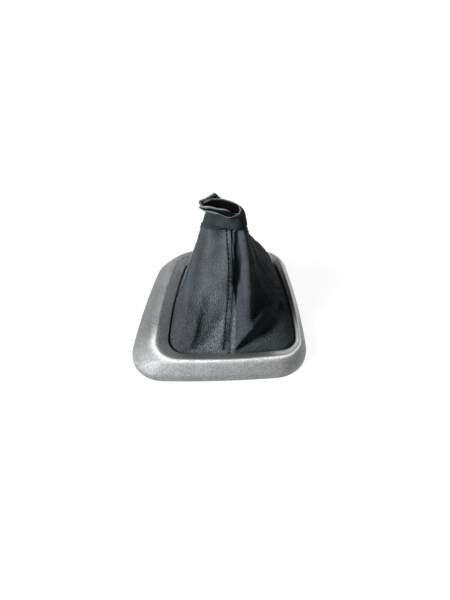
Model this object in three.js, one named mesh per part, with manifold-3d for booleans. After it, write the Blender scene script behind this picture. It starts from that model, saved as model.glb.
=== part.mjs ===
// Gear lever gaiter: a sewn leatherette boot clamped in a moulded surround.
// Millimetres. +Z up, the front faces -Y, the origin is under the middle of the surround.
import * as THREE from 'three';
import { mergeVertices } from 'three/addons/utils/BufferGeometryUtils.js';
import Module from 'manifold-3d';

const wasm = await Module();
wasm.setup();

// Surround in plan: four corners where its straight sides would meet, and how far each side bows out.
const frontWidth = 150.5;
const rearWidth = 120;
const rearShift = 4;
const sideLength = 154;
const frontSkew = 5;
const bow = { front: 3.4, right: 4.2, rear: 3, left: 4.3 };

// Surround in section: a skirt, a sloping wall up to the ridge, and a slope down to the lip round the mouth.
const skirtHeight = 6.2;
const ridgeHeight = 17;
const lipHeight = 12;
const wallRun = { front: 10, right: 6.6, rear: 8.5, leftAtFront: 22, leftAtRear: 15.5 };
const slopeRun = { front: 9.5, right: 2.4, rear: 5.8, leftAtFront: 10.5, leftAtRear: 8.5 };
const shellWall = 2.4;
const lipThickness = 2.7;
const ledge = { front: 6.2, right: 1.6, rear: 5, leftAtFront: 6.2, leftAtRear: 6.2 };
const skirtLean = 0.015;
const lipUndercut = 0.97;
const ledgeFlare = 1.12;

// Points of the wall, as shares of its run inwards and of its rise, and of the slope, as shares of
// its run and of its fall.
const wallSection = [[0.05, 0.06], [0.17, 0.26], [0.42, 0.59], [0.7, 0.84], [0.9, 0.97]];
const slopeSection = [[0, 0], [0.2, 0.08], [0.55, 0.46], [0.93, 0.94]];

// How far each corner's rounding reaches along the sides, at the foot, the ridge and the mouth.
const footReach = { frontLeft: 30, frontRight: 27, rearRight: 19, rearLeft: 29 };
const ridgeReach = { frontLeft: 20, frontRight: 17, rearRight: 15, rearLeft: 19 };
const mouthReach = { frontLeft: 15, frontRight: 12.5, rearRight: 12.5, rearLeft: 14 };

// Leatherette and how it sits in the mouth.
const leather = 1.2;
const gap = 0.3;
const lipClearance = 1.6;
const flange = { front: 5, right: 3.4, rear: 4.4, leftAtFront: 5, leftAtRear: 5 };
const flangeBend = 1.5;
const bendShare = 0.45;
const seamAllowance = 4;
const topAllowance = 2;
const seamTurn = 0.9;
const seamStart = 0.15;
const seamDip = 1.1;
const seamDipReach = 2.2;

// Retaining frame, its catches and its screws.
const retainerThickness = 2.4;
const retainerInset = 0.6;
const retainerReach = { front: 13.4, right: 4, rear: 8.6, leftAtFront: 13.4, leftAtRear: 13.4 };
const catchLength = 10;
const catchOverlap = 1.2;
const catchThickness = 1.8;
const screwSetback = 10;
const screwRadius = 1.3;
const screwLength = 8.4;
const headRadius = 2.8;
const headHeight = 1.7;
const bossRadius = 3.3;
const screwClearance = 0.3;

// Collar: the folded hem round the mouth of the boot.
const overallHeight = 115.5;
const collarHeight = 18.5;
const collarFootHeight = overallHeight - collarHeight;
const collarFootTilt = 3.2;
const collarFoot = { x: 4.2, y: 4.4, width: 38.5, depth: 25 };
const collarNeck = { x: 4.9, y: 3.6, width: 31.5, depth: 20.5, share: 0.74 };
const collarRim = { x: 2.6, y: 3.6, width: 32, depth: 19.5 };
const collarSquareness = 2.3;
const hemThickness = 2.6;
const hemDepth = 8;
const bandThickness = 1.3;
const tuck = 4;
const rimFallToRight = 2.6;
const rimDip = { at: 282, spread: 26, depth: 1.6, bulge: 2.2 };
const rimPeak = { at: 108, spread: 15, height: 4.6, bulge: 0.8 };
const rimTip = { at: 184, spread: 24, height: 1.4, bulge: 2 };

// The boot's drawn lines, counter-clockwise from the front seam. foot counts the mouth's sides from the
// front-left corner, collar is the angle round the collar, and each push moves the line, in x and y, off
// the straight way up at a quarter, half and three quarters of the height.
const drawnLines = [
  { foot: 0.46, collar: -72, push: [[1, -2], [2.5, -6], [2.5, -6]] },
  { foot: 0.54, collar: -60, push: [[0.5, -2.5], [0, -3.5], [0, -2.5]] },
  { foot: 0.7, collar: -38, push: [[0.5, -6], [1.5, -11], [1.5, -11]] },
  { foot: 1, collar: -12, push: [[-9, 5], [-8, -1], [-3.5, -3]] },
  { foot: 1.45, collar: 15, push: [[-1.5, -2], [-3.5, -2], [-1, -1]] },
  { foot: 2, collar: 48, push: [[3, 1], [5.5, 0], [6, -1]] },
  { foot: 2.5, collar: 90, push: [[0, 1], [0, 2.5], [0, 2]] },
  { foot: 3, collar: 138, push: [[0, 0], [-1, 1], [-1, 1]] },
  { foot: 3.5, collar: 180, push: [[1.5, 0], [1, 0], [0, 0]] },
  { foot: 4.02, collar: 218, push: [[1, -7], [-1.5, -9.5], [-3.5, -8]] },
  { foot: 4.22, collar: 250, push: [[-1, -2.5], [-1, -7], [-1, -7]] },
];
const seamLines = [0, 4, 6, 8];

// Folds that the leather has taken: each runs along points given as drawn line and share of the height.
const folds = [
  {
    path: [[0.9, 0.02], [1.5, 0.12], [2, 0.22], [2.6, 0.26], [3.4, 0.24], [4, 0.17]],
    height: 2.4,
    width: 3.6,
  },
  { path: [[1.7, 0.02], [2.3, 0.12], [3, 0.15], [3.7, 0.12]], height: -2.8, width: 5 },
  { path: [[2, 0.26], [2, 0.5], [2, 0.75], [2, 0.94]], height: 1.3, width: 2.6 },
  { path: [[9, 0.1], [9, 0.4], [9, 0.7], [9, 0.94]], height: 1.2, width: 2.8 },
  { path: [[10.9, 0.5], [10.6, 0.25], [10.1, 0.03]], height: -1.9, width: 6 },
  { path: [[9.6, 0.32], [9.45, 0.05]], height: 1.6, width: 4 },
  { path: [[10.75, 0.3], [10.65, 0.06]], height: 1.2, width: 4 },
  { path: [[5, 0.88], [5.1, 0.55], [5, 0.2]], height: 1.6, width: 4.5 },
  { path: [[5.9, 0.62], [5.4, 0.3], [5.2, 0.08]], height: -1.8, width: 5 },
  { path: [[7, 0.6], [6.6, 0.3], [6.5, 0.06]], height: -1.8, width: 5 },
  { path: [[8.4, 0.55], [8.3, 0.2]], height: -1.6, width: 5 },
];

// How finely each piece is divided.
const sideSteps = 7;
const cornerSteps = 7;
const panelSteps = { front_right_panel: 24, rear_right_panel: 11, rear_left_panel: 11, front_left_panel: 13 };
const heightSteps = 16;
const collarSteps = 44;
const roundSteps = 20;

const sideNames = ['front', 'right', 'rear', 'left'];
const cornerNames = ['frontLeft', 'frontRight', 'rearRight', 'rearLeft'];
const v3 = (x, y, z) => new THREE.Vector3(x, y, z);
const mix = (a, b, t) => a + (b - a) * t;
const bell = (distance, width) => Math.exp(-((distance / width) ** 2));

// The four corners of the foot, set so that the surround's box is centred on the origin.
function footCorners() {
  const corners = {
    frontLeft: [-frontWidth / 2, -sideLength / 2],
    frontRight: [frontWidth / 2, frontSkew - sideLength / 2],
    rearRight: [rearShift + rearWidth / 2, sideLength / 2],
    rearLeft: [rearShift - rearWidth / 2, sideLength / 2],
  };
  const middle = new THREE.Box3().setFromPoints(roundedOutline(corners, footReach, 0)).getCenter(v3(0, 0, 0));
  const centred = ([x, y]) => [x - middle.x, y - middle.y];
  return Object.fromEntries(cornerNames.map((name) => [name, centred(corners[name])]));
}

function movedIn(corners, run, share) {
  return {
    frontLeft: [corners.frontLeft[0] + run.leftAtFront * share, corners.frontLeft[1] + run.front * share],
    frontRight: [corners.frontRight[0] - run.right * share, corners.frontRight[1] + run.front * share],
    rearRight: [corners.rearRight[0] - run.right * share, corners.rearRight[1] - run.rear * share],
    rearLeft: [corners.rearLeft[0] + run.leftAtRear * share, corners.rearLeft[1] - run.rear * share],
  };
}

function mixedReach(a, b, share) {
  return Object.fromEntries(cornerNames.map((name) => [name, mix(a[name], b[name], share)]));
}

// One side of a rounded outline, bowed out, from its first corner to its second.
function bowedSide(corners, side) {
  const start = new THREE.Vector2(...corners[cornerNames[side]]);
  const end = new THREE.Vector2(...corners[cornerNames[(side + 1) % 4]]);
  const along = end.clone().sub(start);
  const outward = new THREE.Vector2(along.y, -along.x).normalize();
  const middle = start.clone().lerp(end, 0.5);
  const control = middle.addScaledVector(outward, 2 * bow[sideNames[side]]);
  return new THREE.QuadraticBezierCurve(start, control, end);
}

// A closed outline: four bowed sides, with a smooth curve round each corner.
function roundedOutline(corners, reach, z) {
  const roundness = 0.56;
  const sides = sideNames.map((_, side) => bowedSide(corners, side));
  const spans = sides.map((curve, side) => {
    const length = curve.getLength();
    return [reach[cornerNames[side]] / length, 1 - reach[cornerNames[(side + 1) % 4]] / length];
  });
  const points = [];
  sides.forEach((curve, side) => {
    const [from, to] = spans[side];
    for (let step = 0; step < sideSteps; step += 1) {
      points.push(curve.getPoint(mix(from, to, step / sideSteps)));
    }
    const next = (side + 1) % 4;
    const cornerReach = reach[cornerNames[next]] * roundness;
    const start = curve.getPoint(to);
    const end = sides[next].getPoint(spans[next][0]);
    const startHandle = start.clone().addScaledVector(curve.getTangent(to), cornerReach);
    const endHandle = end.clone().addScaledVector(sides[next].getTangent(spans[next][0]), -cornerReach);
    const corner = new THREE.CubicBezierCurve(start, startHandle, endHandle, end);
    for (let step = 0; step < cornerSteps; step += 1) {
      points.push(corner.getPoint(step / cornerSteps));
    }
  });
  return points.map((point) => v3(point.x, point.y, z));
}

const evenRun = { front: 1, right: 1, rear: 1, leftAtFront: 1, leftAtRear: 1 };
const mouthEven = { front: 0, right: 0, rear: 0, leftAtFront: 0, leftAtRear: 0 };
const foot = footCorners();
const ridge = movedIn(foot, wallRun, 1);
const mouth = movedIn(ridge, slopeRun, 1);

const wallRing = (share, z) =>
  roundedOutline(movedIn(foot, wallRun, share), mixedReach(footReach, ridgeReach, share), z);
const slopeRing = (share, z) =>
  roundedOutline(movedIn(ridge, slopeRun, share), mixedReach(ridgeReach, mouthReach, share), z);
const mouthRing = (run, share, z) => roundedOutline(movedIn(mouth, run, share), mouthReach, z);

// Where a side's own share falls on a closed outline: whole numbers are the middles of its corners.
function outlineAt(points, position) {
  const stride = sideSteps + cornerSteps;
  const cornerIndex = (corner) => corner * stride - cornerSteps / 2;
  const pointAt = (index) => {
    const count = points.length;
    const low = Math.floor(index);
    const from = points[((low % count) + count) % count];
    const to = points[(((low + 1) % count) + count) % count];
    return from.clone().lerp(to, index - low);
  };
  const side = Math.floor(position);
  const first = cornerIndex(side);
  const pieces = 2 * stride;
  const marks = Array.from({ length: pieces + 1 }, (_, k) => pointAt(first + (k * stride) / pieces));
  const lengths = [0];
  marks.slice(1).forEach((mark, k) => lengths.push(lengths[k] + mark.distanceTo(marks[k])));
  const target = (position - side) * lengths[pieces];
  const piece = Math.min(pieces - 1, lengths.findIndex((length) => length > target) - 1);
  const safePiece = piece < 0 ? pieces - 1 : piece;
  const within = (target - lengths[safePiece]) / (lengths[safePiece + 1] - lengths[safePiece]);
  return marks[safePiece].clone().lerp(marks[safePiece + 1], within);
}

function distanceToPath(point, path) {
  const closest = new THREE.Vector3();
  const distances = path.slice(1).map((end, k) => {
    new THREE.Line3(path[k], end).closestPointToPoint(point, true, closest);
    return closest.distanceTo(point);
  });
  return Math.min(...distances);
}

// A closed body from vertices and triangles.
function bodyFrom(points, triangles) {
  const geometry = new THREE.BufferGeometry();
  const flat = points.flatMap((point) => [point.x, point.y, point.z]);
  geometry.setAttribute('position', new THREE.Float32BufferAttribute(flat, 3));
  geometry.setIndex(triangles);
  geometry.computeVertexNormals();
  return geometry;
}

// A ring-shaped body: closed outlines stitched one to the next, and the last to the first.
function ringBody(rings) {
  const count = rings[0].length;
  const triangles = [];
  rings.forEach((_, row) => {
    const start = row * count;
    const next = ((row + 1) % rings.length) * count;
    for (let column = 0; column < count; column += 1) {
      const right = (column + 1) % count;
      triangles.push(start + column, start + right, next + right);
      triangles.push(start + column, next + right, next + column);
    }
  });
  return bodyFrom(rings.flat(), triangles);
}

// A panel of even thickness: two matching grids of points, joined round their edges.
function sheetBody(outer, inner) {
  const rows = outer.length;
  const columns = outer[0].length;
  const innerStart = rows * columns;
  const at = (row, column) => row * columns + column;
  const triangles = [];
  const addBothSides = (a, b, c) => {
    triangles.push(a, b, c);
    triangles.push(innerStart + a, innerStart + c, innerStart + b);
  };
  for (let row = 0; row < rows - 1; row += 1) {
    for (let column = 0; column < columns - 1; column += 1) {
      addBothSides(at(row, column), at(row, column + 1), at(row + 1, column + 1));
      addBothSides(at(row, column), at(row + 1, column + 1), at(row + 1, column));
    }
  }
  const edge = [];
  for (let column = 0; column < columns - 1; column += 1) edge.push([at(0, column + 1), at(0, column)]);
  for (let row = 0; row < rows - 1; row += 1) edge.push([at(row, 0), at(row + 1, 0)]);
  const last = rows - 1;
  for (let column = 0; column < columns - 1; column += 1) edge.push([at(last, column), at(last, column + 1)]);
  for (let row = 0; row < rows - 1; row += 1) edge.push([at(row + 1, columns - 1), at(row, columns - 1)]);
  edge.forEach(([a, b]) => triangles.push(a, b, innerStart + b, a, innerStart + b, innerStart + a));
  return bodyFrom([...outer.flat(), ...inner.flat()], triangles);
}

// Outward normals of a grid of points; closed says that its columns run all the way round.
function gridNormals(grid, closed) {
  const rows = grid.length;
  const columns = grid[0].length;
  const wrapped = (column) => (column + columns) % columns;
  const limited = (column) => Math.min(columns - 1, Math.max(0, column));
  const pick = closed ? wrapped : limited;
  return grid.map((line, row) =>
    line.map((_, column) => {
      const across = grid[row][pick(column + 1)].clone().sub(grid[row][pick(column - 1)]);
      const up = grid[Math.min(rows - 1, row + 1)][column].clone().sub(grid[Math.max(0, row - 1)][column]);
      return across.cross(up).normalize();
    }),
  );
}

// Solids for joining and cutting.
function toSolid(geometry) {
  const bare = geometry.clone();
  bare.deleteAttribute('normal');
  bare.deleteAttribute('uv');
  const merged = mergeVertices(bare, 1e-4);
  return new wasm.Manifold(new wasm.Mesh({
    numProp: 3,
    vertProperties: Float32Array.from(merged.attributes.position.array),
    triVerts: Uint32Array.from(merged.index.array),
  }));
}

function toGeometry(solid) {
  const mesh = solid.getMesh();
  const geometry = new THREE.BufferGeometry();
  geometry.setAttribute('position', new THREE.BufferAttribute(Float32Array.from(mesh.vertProperties), 3));
  geometry.setIndex(Array.from(mesh.triVerts));
  geometry.computeVertexNormals();
  return geometry;
}

function post(radius, bottom, top, centre) {
  const geometry = new THREE.CylinderGeometry(radius, radius, top - bottom, roundSteps);
  geometry.rotateX(Math.PI / 2);
  geometry.translate(centre.x, centre.y, (top + bottom) / 2);
  return toSolid(geometry);
}

// Heights of the clamped stack, from the lip down.
const ledgeHeight = lipHeight - lipThickness;
const flangeHeight = ledgeHeight - gap - leather / 2;
const retainerTop = flangeHeight - leather / 2 - gap;
const retainerBottom = retainerTop - retainerThickness;

// Where the screws stand: outside the boot's flange, on the front and left bands.
const screwPositions = [
  { side: 0, share: 0.17 },
  { side: 0, share: 0.8 },
  { side: 3, share: 0.2 },
  { side: 3, share: 0.75 },
];
const screwRun = { ...mouthEven, front: screwSetback, leftAtFront: screwSetback, leftAtRear: screwSetback };
const screwLine = mouthRing(screwRun, -1, 0);
const screwPoints = screwPositions.map(({ side, share }) => outlineAt(screwLine, side + share));

function retainerEdge(z) {
  return roundedOutline(movedIn(mouth, retainerReach, -1), mixedReach(footReach, ridgeReach, 0.25), z);
}

// The surround: outer faces from the foot over the ridge to the lip, then back underneath.
function surroundOuterRings() {
  const rise = ridgeHeight - skirtHeight;
  const fall = ridgeHeight - lipHeight;
  return [
    wallRing(0, 0),
    wallRing(skirtLean, skirtHeight - 1),
    ...wallSection.map(([run, up]) => wallRing(run, skirtHeight + up * rise)),
    ...slopeSection.map(([run, down]) => slopeRing(run, ridgeHeight - down * fall)),
    slopeRing(1, lipHeight - 0.25 * lipThickness),
  ];
}

function surroundInnerRings(outerRings) {
  const normals = gridNormals(outerRings, true);
  const shoulderRow = 4;
  const lowered = (row) =>
    outerRings[row].map((point, k) => point.clone().addScaledVector(normals[row][k], -shellWall));
  const skirtInner = outerRings[0].map((point, k) => {
    const inward = normals[0][k].clone().setZ(0).normalize();
    return point.clone().addScaledVector(inward, -shellWall);
  });
  const raisedSkirt = skirtInner.map((point) => point.clone().setZ(skirtHeight - shellWall));
  return { skirtInner, raisedSkirt, shoulder: lowered(shoulderRow), upper: lowered(shoulderRow + 1) };
}

function surroundBody() {
  const outer = surroundOuterRings();
  const inner = surroundInnerRings(outer);
  const ledgeTop = ridgeHeight - 1.5 * shellWall;
  const rings = [
    ...outer,
    slopeRing(lipUndercut, ledgeHeight),
    mouthRing(ledge, -1, ledgeHeight),
    mouthRing(ledge, -ledgeFlare, ledgeTop),
    inner.upper,
    inner.shoulder,
    inner.raisedSkirt,
    inner.skirtInner,
  ];
  return toSolid(ringBody(rings));
}

// The space that the surround fills down to the floor, used to end its bosses inside its skin.
function surroundEnvelope() {
  return toSolid(ringBody([...surroundOuterRings(), slopeRing(1, 0)]));
}

// A catch on the inside of a wall, square to it, under the retaining frame's edge.
function catchRib(side, share) {
  const wallLine = wallRing(0, 0);
  const outerPoint = outlineAt(wallLine, side + share);
  const tangent = outlineAt(wallLine, side + share + 0.02).sub(outlineAt(wallLine, side + share - 0.02));
  const inward = v3(-tangent.y, tangent.x, 0).normalize();
  const toEdge = distanceToPath(outerPoint, retainerEdge(0));
  const start = shellWall / 2;
  const reach = toEdge + catchOverlap - start;
  const geometry = new THREE.BoxGeometry(reach, catchLength, catchThickness);
  geometry.rotateZ(Math.atan2(inward.y, inward.x));
  const centre = outerPoint.clone().addScaledVector(inward, start + reach / 2);
  geometry.translate(centre.x, centre.y, retainerBottom - gap - catchThickness / 2);
  return toSolid(geometry);
}

function bezelFrame() {
  let body = surroundBody();
  const envelope = surroundEnvelope();
  screwPoints.forEach((point) => {
    const boss = post(bossRadius, retainerTop + gap, ridgeHeight + 1, point).intersect(envelope);
    const hole = post(screwRadius + screwClearance, 0, retainerBottom + screwLength + screwClearance, point);
    body = body.add(boss).subtract(hole);
  });
  [[1, 0.3], [1, 0.72], [2, 0.3], [2, 0.7]].forEach(([side, share]) => {
    body = body.add(catchRib(side, share));
  });
  return toGeometry(body);
}

// The frame under the boot's turned-out edge.
function retainingFrame() {
  const innerTop = mouthRing(evenRun, retainerInset, retainerTop);
  const innerBottom = mouthRing(evenRun, retainerInset, retainerBottom);
  const outerTop = retainerEdge(retainerTop);
  const outerBottom = retainerEdge(retainerBottom);
  let body = toSolid(ringBody([innerBottom, outerBottom, outerTop, innerTop]));
  screwPoints.forEach((point) => {
    body = body.subtract(post(screwRadius + screwClearance, retainerBottom - 1, retainerTop + 1, point));
  });
  return toGeometry(body);
}

// A pan-head screw with a pointed tip, from a profile turned about its axis.
function screwBody(centre) {
  const headTop = retainerBottom - gap;
  const tipHeight = 1.6;
  const profile = [
    [0, headTop - headHeight],
    [0.75 * headRadius, headTop - headHeight],
    [headRadius, headTop - 0.45 * headHeight],
    [headRadius, headTop],
    [screwRadius, headTop],
    [screwRadius, headTop + screwLength - tipHeight],
    [0.3 * screwRadius, headTop + screwLength],
    [0, headTop + screwLength],
  ];
  const geometry = new THREE.LatheGeometry(profile.map(([r, z]) => new THREE.Vector2(r, z)), roundSteps);
  geometry.rotateX(Math.PI / 2);
  geometry.translate(centre.x, centre.y, 0);
  return geometry;
}

// Collar outlines: a squared oval at its foot and at its rim.
function ovalPoint(oval, degrees, grow) {
  const angle = THREE.MathUtils.degToRad(degrees);
  const power = 2 / collarSquareness;
  const shaped = (value) => Math.sign(value) * Math.abs(value) ** power;
  const x = oval.x + (oval.width / 2 + grow) * shaped(Math.cos(angle));
  const y = oval.y + (oval.depth / 2 + grow) * shaped(Math.sin(angle));
  return v3(x, y, 0);
}

const angleFrom = (degrees, at) => THREE.MathUtils.euclideanModulo(degrees - at + 180, 360) - 180;

function rimPoint(degrees, grow) {
  const dip = bell(angleFrom(degrees, rimDip.at), rimDip.spread);
  const peak = bell(angleFrom(degrees, rimPeak.at), rimPeak.spread);
  const tip = bell(angleFrom(degrees, rimTip.at), rimTip.spread);
  const bulge = dip * rimDip.bulge + peak * rimPeak.bulge + tip * rimTip.bulge;
  const point = ovalPoint(collarRim, degrees, grow + bulge);
  const tilt = -rimFallToRight * Math.cos(THREE.MathUtils.degToRad(degrees));
  const lift = peak * rimPeak.height + tip * rimTip.height - dip * rimDip.depth;
  return point.setZ(collarFootHeight + collarHeight + tilt + lift);
}

// share 0 is the collar's foot and 1 its rim, with its neck between; grow moves the line outwards.
function collarPoint(degrees, share, grow) {
  const footLift = -collarFootTilt * Math.sin(THREE.MathUtils.degToRad(degrees));
  const low = ovalPoint(collarFoot, degrees, grow).setZ(collarFootHeight + footLift);
  const high = rimPoint(degrees, grow);
  const neck = ovalPoint(collarNeck, degrees, grow).setZ(mix(low.z, high.z, collarNeck.share));
  const curve = new THREE.CatmullRomCurve3([low, low.clone().lerp(neck, 0.5), neck, high]);
  const t = share < collarNeck.share
    ? (share / collarNeck.share) * (2 / 3)
    : mix(2 / 3, 1, (share - collarNeck.share) / (1 - collarNeck.share));
  return curve.getPoint(t);
}

function collarBand() {
  const hemShare = 1 - hemDepth / collarHeight;
  const section = [
    [0, 0], [0.25, 0], [0.5, 0], [0.72, 0], [0.86, 0], [0.96, 0], [1, -0.35 * hemThickness],
    [1, -0.65 * hemThickness], [0.96, -hemThickness], [0.86, -hemThickness], [hemShare, -hemThickness],
    [hemShare - 0.02, -bandThickness], [0.3, -bandThickness], [0, -bandThickness],
  ];
  const rings = section.map(([share, grow]) =>
    Array.from({ length: collarSteps }, (_, k) => collarPoint((360 * k) / collarSteps, share, grow)));
  return ringBody(rings);
}

// Values given per drawn line, read smoothly anywhere between the lines.
function alongLines(values, position, turn) {
  const count = values.length;
  const valueAt = (index) => values[((index % count) + count) % count] + Math.floor(index / count) * turn;
  const low = Math.floor(position);
  const t = position - low;
  const [a, b, c, d] = [valueAt(low - 1), valueAt(low), valueAt(low + 1), valueAt(low + 2)];
  return b + 0.5 * t * (c - a + t * (2 * a - 5 * b + 4 * c - d + t * (3 * (b - c) + d - a)));
}

// Values given at the foot, the three drawn heights and the collar, read smoothly in between.
function upHeights(values, share) {
  const curve = new THREE.SplineCurve(values.map((value, k) => new THREE.Vector2(k, value)));
  return curve.getPoint(share).y;
}

const bootInset = lipClearance + leather / 2;
const bootFootRing = mouthRing(evenRun, bootInset, lipHeight);
const panelGrow = -bandThickness - gap - leather / 2;

// The boot's middle surface before its folds. line counts the drawn lines, share runs from lip to collar.
function drawnSurface(line, share) {
  const footPosition = alongLines(drawnLines.map((drawn) => drawn.foot), line, 4);
  const degrees = alongLines(drawnLines.map((drawn) => drawn.collar), line, 360);
  const low = outlineAt(bootFootRing, footPosition);
  const high = collarPoint(degrees, 0, panelGrow);
  const point = low.lerp(high, share);
  [0, 1].forEach((axis) => {
    const pushAt = (level) => alongLines(drawnLines.map((drawn) => drawn.push[level][axis]), line, 0);
    const offset = upHeights([0, pushAt(0), pushAt(1), pushAt(2), 0], share);
    point.setComponent(axis, point.getComponent(axis) + offset);
  });
  return point;
}

const foldPaths = folds.map(({ path }) => path.map(([line, share]) => drawnSurface(line, share)));

function foldDepth(point) {
  const depths = folds.map((fold, k) => fold.height * bell(distanceToPath(point, foldPaths[k]), fold.width));
  return depths.reduce((sum, depth) => sum + depth, 0);
}

// The boot's middle surface with its folds, and the directions across and out of it.
function bootFrame(line, share) {
  const step = 0.02;
  const point = drawnSurface(line, share);
  const across = drawnSurface(line + step, share).sub(drawnSurface(line - step, share)).normalize();
  const upStart = drawnSurface(line, Math.max(0, share - step));
  const up = drawnSurface(line, Math.min(1, share + step)).sub(upStart).normalize();
  const out = across.clone().cross(up).normalize();
  const fade = Math.min(1, share / 0.06) * Math.min(1, (1 - share) / 0.1);
  point.addScaledVector(out, foldDepth(point) * fade);
  return { point, across, out };
}

// Below the lip the boot runs down, bends through a quarter turn and runs out into the clamped flange.
function flangeFrame(line, share) {
  const footPosition = alongLines(drawnLines.map((drawn) => drawn.foot), line, 4);
  const turn = (Math.PI / 2) * Math.min(1, share / bendShare);
  const spread = Math.max(0, (share - bendShare) / (1 - bendShare));
  const turnedIn = mouthRing(evenRun, bootInset - flangeBend * (1 - Math.cos(turn)), 0);
  const inner = outlineAt(turnedIn, footPosition);
  const outer = outlineAt(mouthRing(flange, -1, 0), footPosition);
  return inner.lerp(outer, spread).setZ(flangeHeight + flangeBend * (1 - Math.sin(turn)));
}

const bootRows = [1, 0.72, 0.45, 0.3, 0.15, 0].map((share) => ({ kind: 'flange', share }));
for (let step = 0; step <= heightSteps; step += 1) bootRows.push({ kind: 'boot', share: step / heightSteps });
bootRows.push({ kind: 'tuck', share: 1 });

function rowFrame(row, line) {
  if (row.kind === 'flange') {
    const point = flangeFrame(line, row.share);
    const step = 0.02;
    const before = flangeFrame(line - step, row.share);
    const across = flangeFrame(line + step, row.share).sub(before).normalize();
    const below = flangeFrame(line, Math.min(1, row.share + step));
    const above = flangeFrame(line, Math.max(0, row.share - step));
    const out = across.clone().cross(above.sub(below)).normalize();
    return { point, across, out };
  }
  const frame = bootFrame(line, row.share);
  if (row.kind === 'tuck') {
    const degrees = alongLines(drawnLines.map((drawn) => drawn.collar), line, 360);
    frame.point = collarPoint(degrees, tuck / collarHeight, panelGrow);
  }
  return frame;
}

// One row of a panel between two seams: its edges dip into the seam and turn inwards as an allowance.
function panelRow(row, firstLine, lastLine, steps) {
  const folded = row.kind === 'boot' ? Math.min(1, row.share / seamStart) : Number(row.kind === 'tuck');
  const halfGap = gap / 2 + leather / 2;
  const edgePoints = (line, side) => {
    const frame = rowFrame(row, line);
    const flat = [halfGap + seamTurn, halfGap + 0.6 * seamTurn, halfGap + 0.3 * seamTurn, gap / 2];
    const turned = [
      [halfGap + seamTurn, 0],
      [halfGap + 0.29 * seamTurn, -0.29 * seamTurn],
      [halfGap, -seamTurn],
      [halfGap, -mix(seamAllowance, topAllowance, row.share)],
    ];
    const drawnBack = Math.min(1, 2.5 * folded);
    const turnedIn = Math.max(0, (folded - 0.4) / 0.6);
    return turned.map(([aside, depth], k) => {
      const sideways = mix(flat[k], aside, drawnBack) * side;
      return frame.point.clone()
        .addScaledVector(frame.across, sideways)
        .addScaledVector(frame.out, depth * turnedIn - seamDip * folded);
    });
  };
  const start = edgePoints(firstLine, 1).reverse();
  const end = edgePoints(lastLine, -1);
  const middle = [];
  const startSeam = rowFrame(row, firstLine).point;
  const endSeam = rowFrame(row, lastLine).point;
  for (let step = 1; step < steps; step += 1) {
    const line = mix(firstLine, lastLine, step / steps);
    const frame = rowFrame(row, line);
    const fromSeam = Math.min(frame.point.distanceTo(startSeam), frame.point.distanceTo(endSeam));
    middle.push(frame.point.addScaledVector(frame.out, -seamDip * folded * bell(fromSeam, seamDipReach)));
  }
  return [...start, ...middle, ...end];
}

function leatherPanel(firstLine, lastLine, steps) {
  const grid = bootRows.map((row) => panelRow(row, firstLine, lastLine, steps));
  const normals = gridNormals(grid, false);
  const moved = (distance) =>
    grid.map((line, row) => line.map((point, k) => point.clone().addScaledVector(normals[row][k], distance)));
  return sheetBody(moved(leather / 2), moved(-leather / 2));
}

// Finishes.
const finishes = {
  silver: { color: 0x8e8f8b, roughness: 0.42, metalness: 0.55 },
  leather: { color: 0x1b1b1c, roughness: 0.5, metalness: 0 },
  blackPlastic: { color: 0x161616, roughness: 0.6, metalness: 0 },
  screwSteel: { color: 0x9a9a9c, roughness: 0.35, metalness: 0.9 },
};

function namedMesh(name, geometry, finish) {
  const mesh = new THREE.Mesh(geometry, new THREE.MeshStandardMaterial(finishes[finish]));
  mesh.name = name;
  return mesh;
}

const gaiter = new THREE.Group();
gaiter.add(namedMesh('bezel_frame', bezelFrame(), 'silver'));
gaiter.add(namedMesh('retaining_frame', retainingFrame(), 'blackPlastic'));
screwPoints.forEach((point, k) => {
  gaiter.add(namedMesh(`frame_screw_${k + 1}`, screwBody(point), 'screwSteel'));
});
Object.entries(panelSteps).forEach(([name, steps], k) => {
  const last = k + 1 < seamLines.length ? seamLines[k + 1] : drawnLines.length;
  gaiter.add(namedMesh(name, leatherPanel(seamLines[k], last, steps), 'leather'));
});
gaiter.add(namedMesh('collar_band', collarBand(), 'leather'));

export default gaiter;
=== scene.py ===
import math

import bpy
import numpy as np
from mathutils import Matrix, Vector


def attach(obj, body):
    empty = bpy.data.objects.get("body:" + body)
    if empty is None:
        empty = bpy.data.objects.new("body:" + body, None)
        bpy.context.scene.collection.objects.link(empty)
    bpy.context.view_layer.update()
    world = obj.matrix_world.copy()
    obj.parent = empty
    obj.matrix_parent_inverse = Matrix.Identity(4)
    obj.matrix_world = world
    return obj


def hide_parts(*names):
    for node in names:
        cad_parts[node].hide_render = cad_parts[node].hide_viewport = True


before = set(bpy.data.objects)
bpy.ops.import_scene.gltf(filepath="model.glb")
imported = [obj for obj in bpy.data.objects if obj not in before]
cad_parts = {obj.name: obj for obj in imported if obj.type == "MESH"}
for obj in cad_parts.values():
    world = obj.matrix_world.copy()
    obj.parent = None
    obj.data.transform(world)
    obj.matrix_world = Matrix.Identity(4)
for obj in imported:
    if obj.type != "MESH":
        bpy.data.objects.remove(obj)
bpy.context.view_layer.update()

mm = 0.001
print("frame loaded")


def mix(a, b, t):
    return a + (b - a) * t


def bell(distance, width):
    return np.exp(-((distance / width) ** 2))


def ramp(low, high, value):
    t = np.clip((value - low) / (high - low), 0.0, 1.0)
    return t * t * (3.0 - 2.0 * t)


def unit(vectors):
    return vectors / np.maximum(np.linalg.norm(vectors, axis=-1, keepdims=True), 1e-12)


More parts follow.
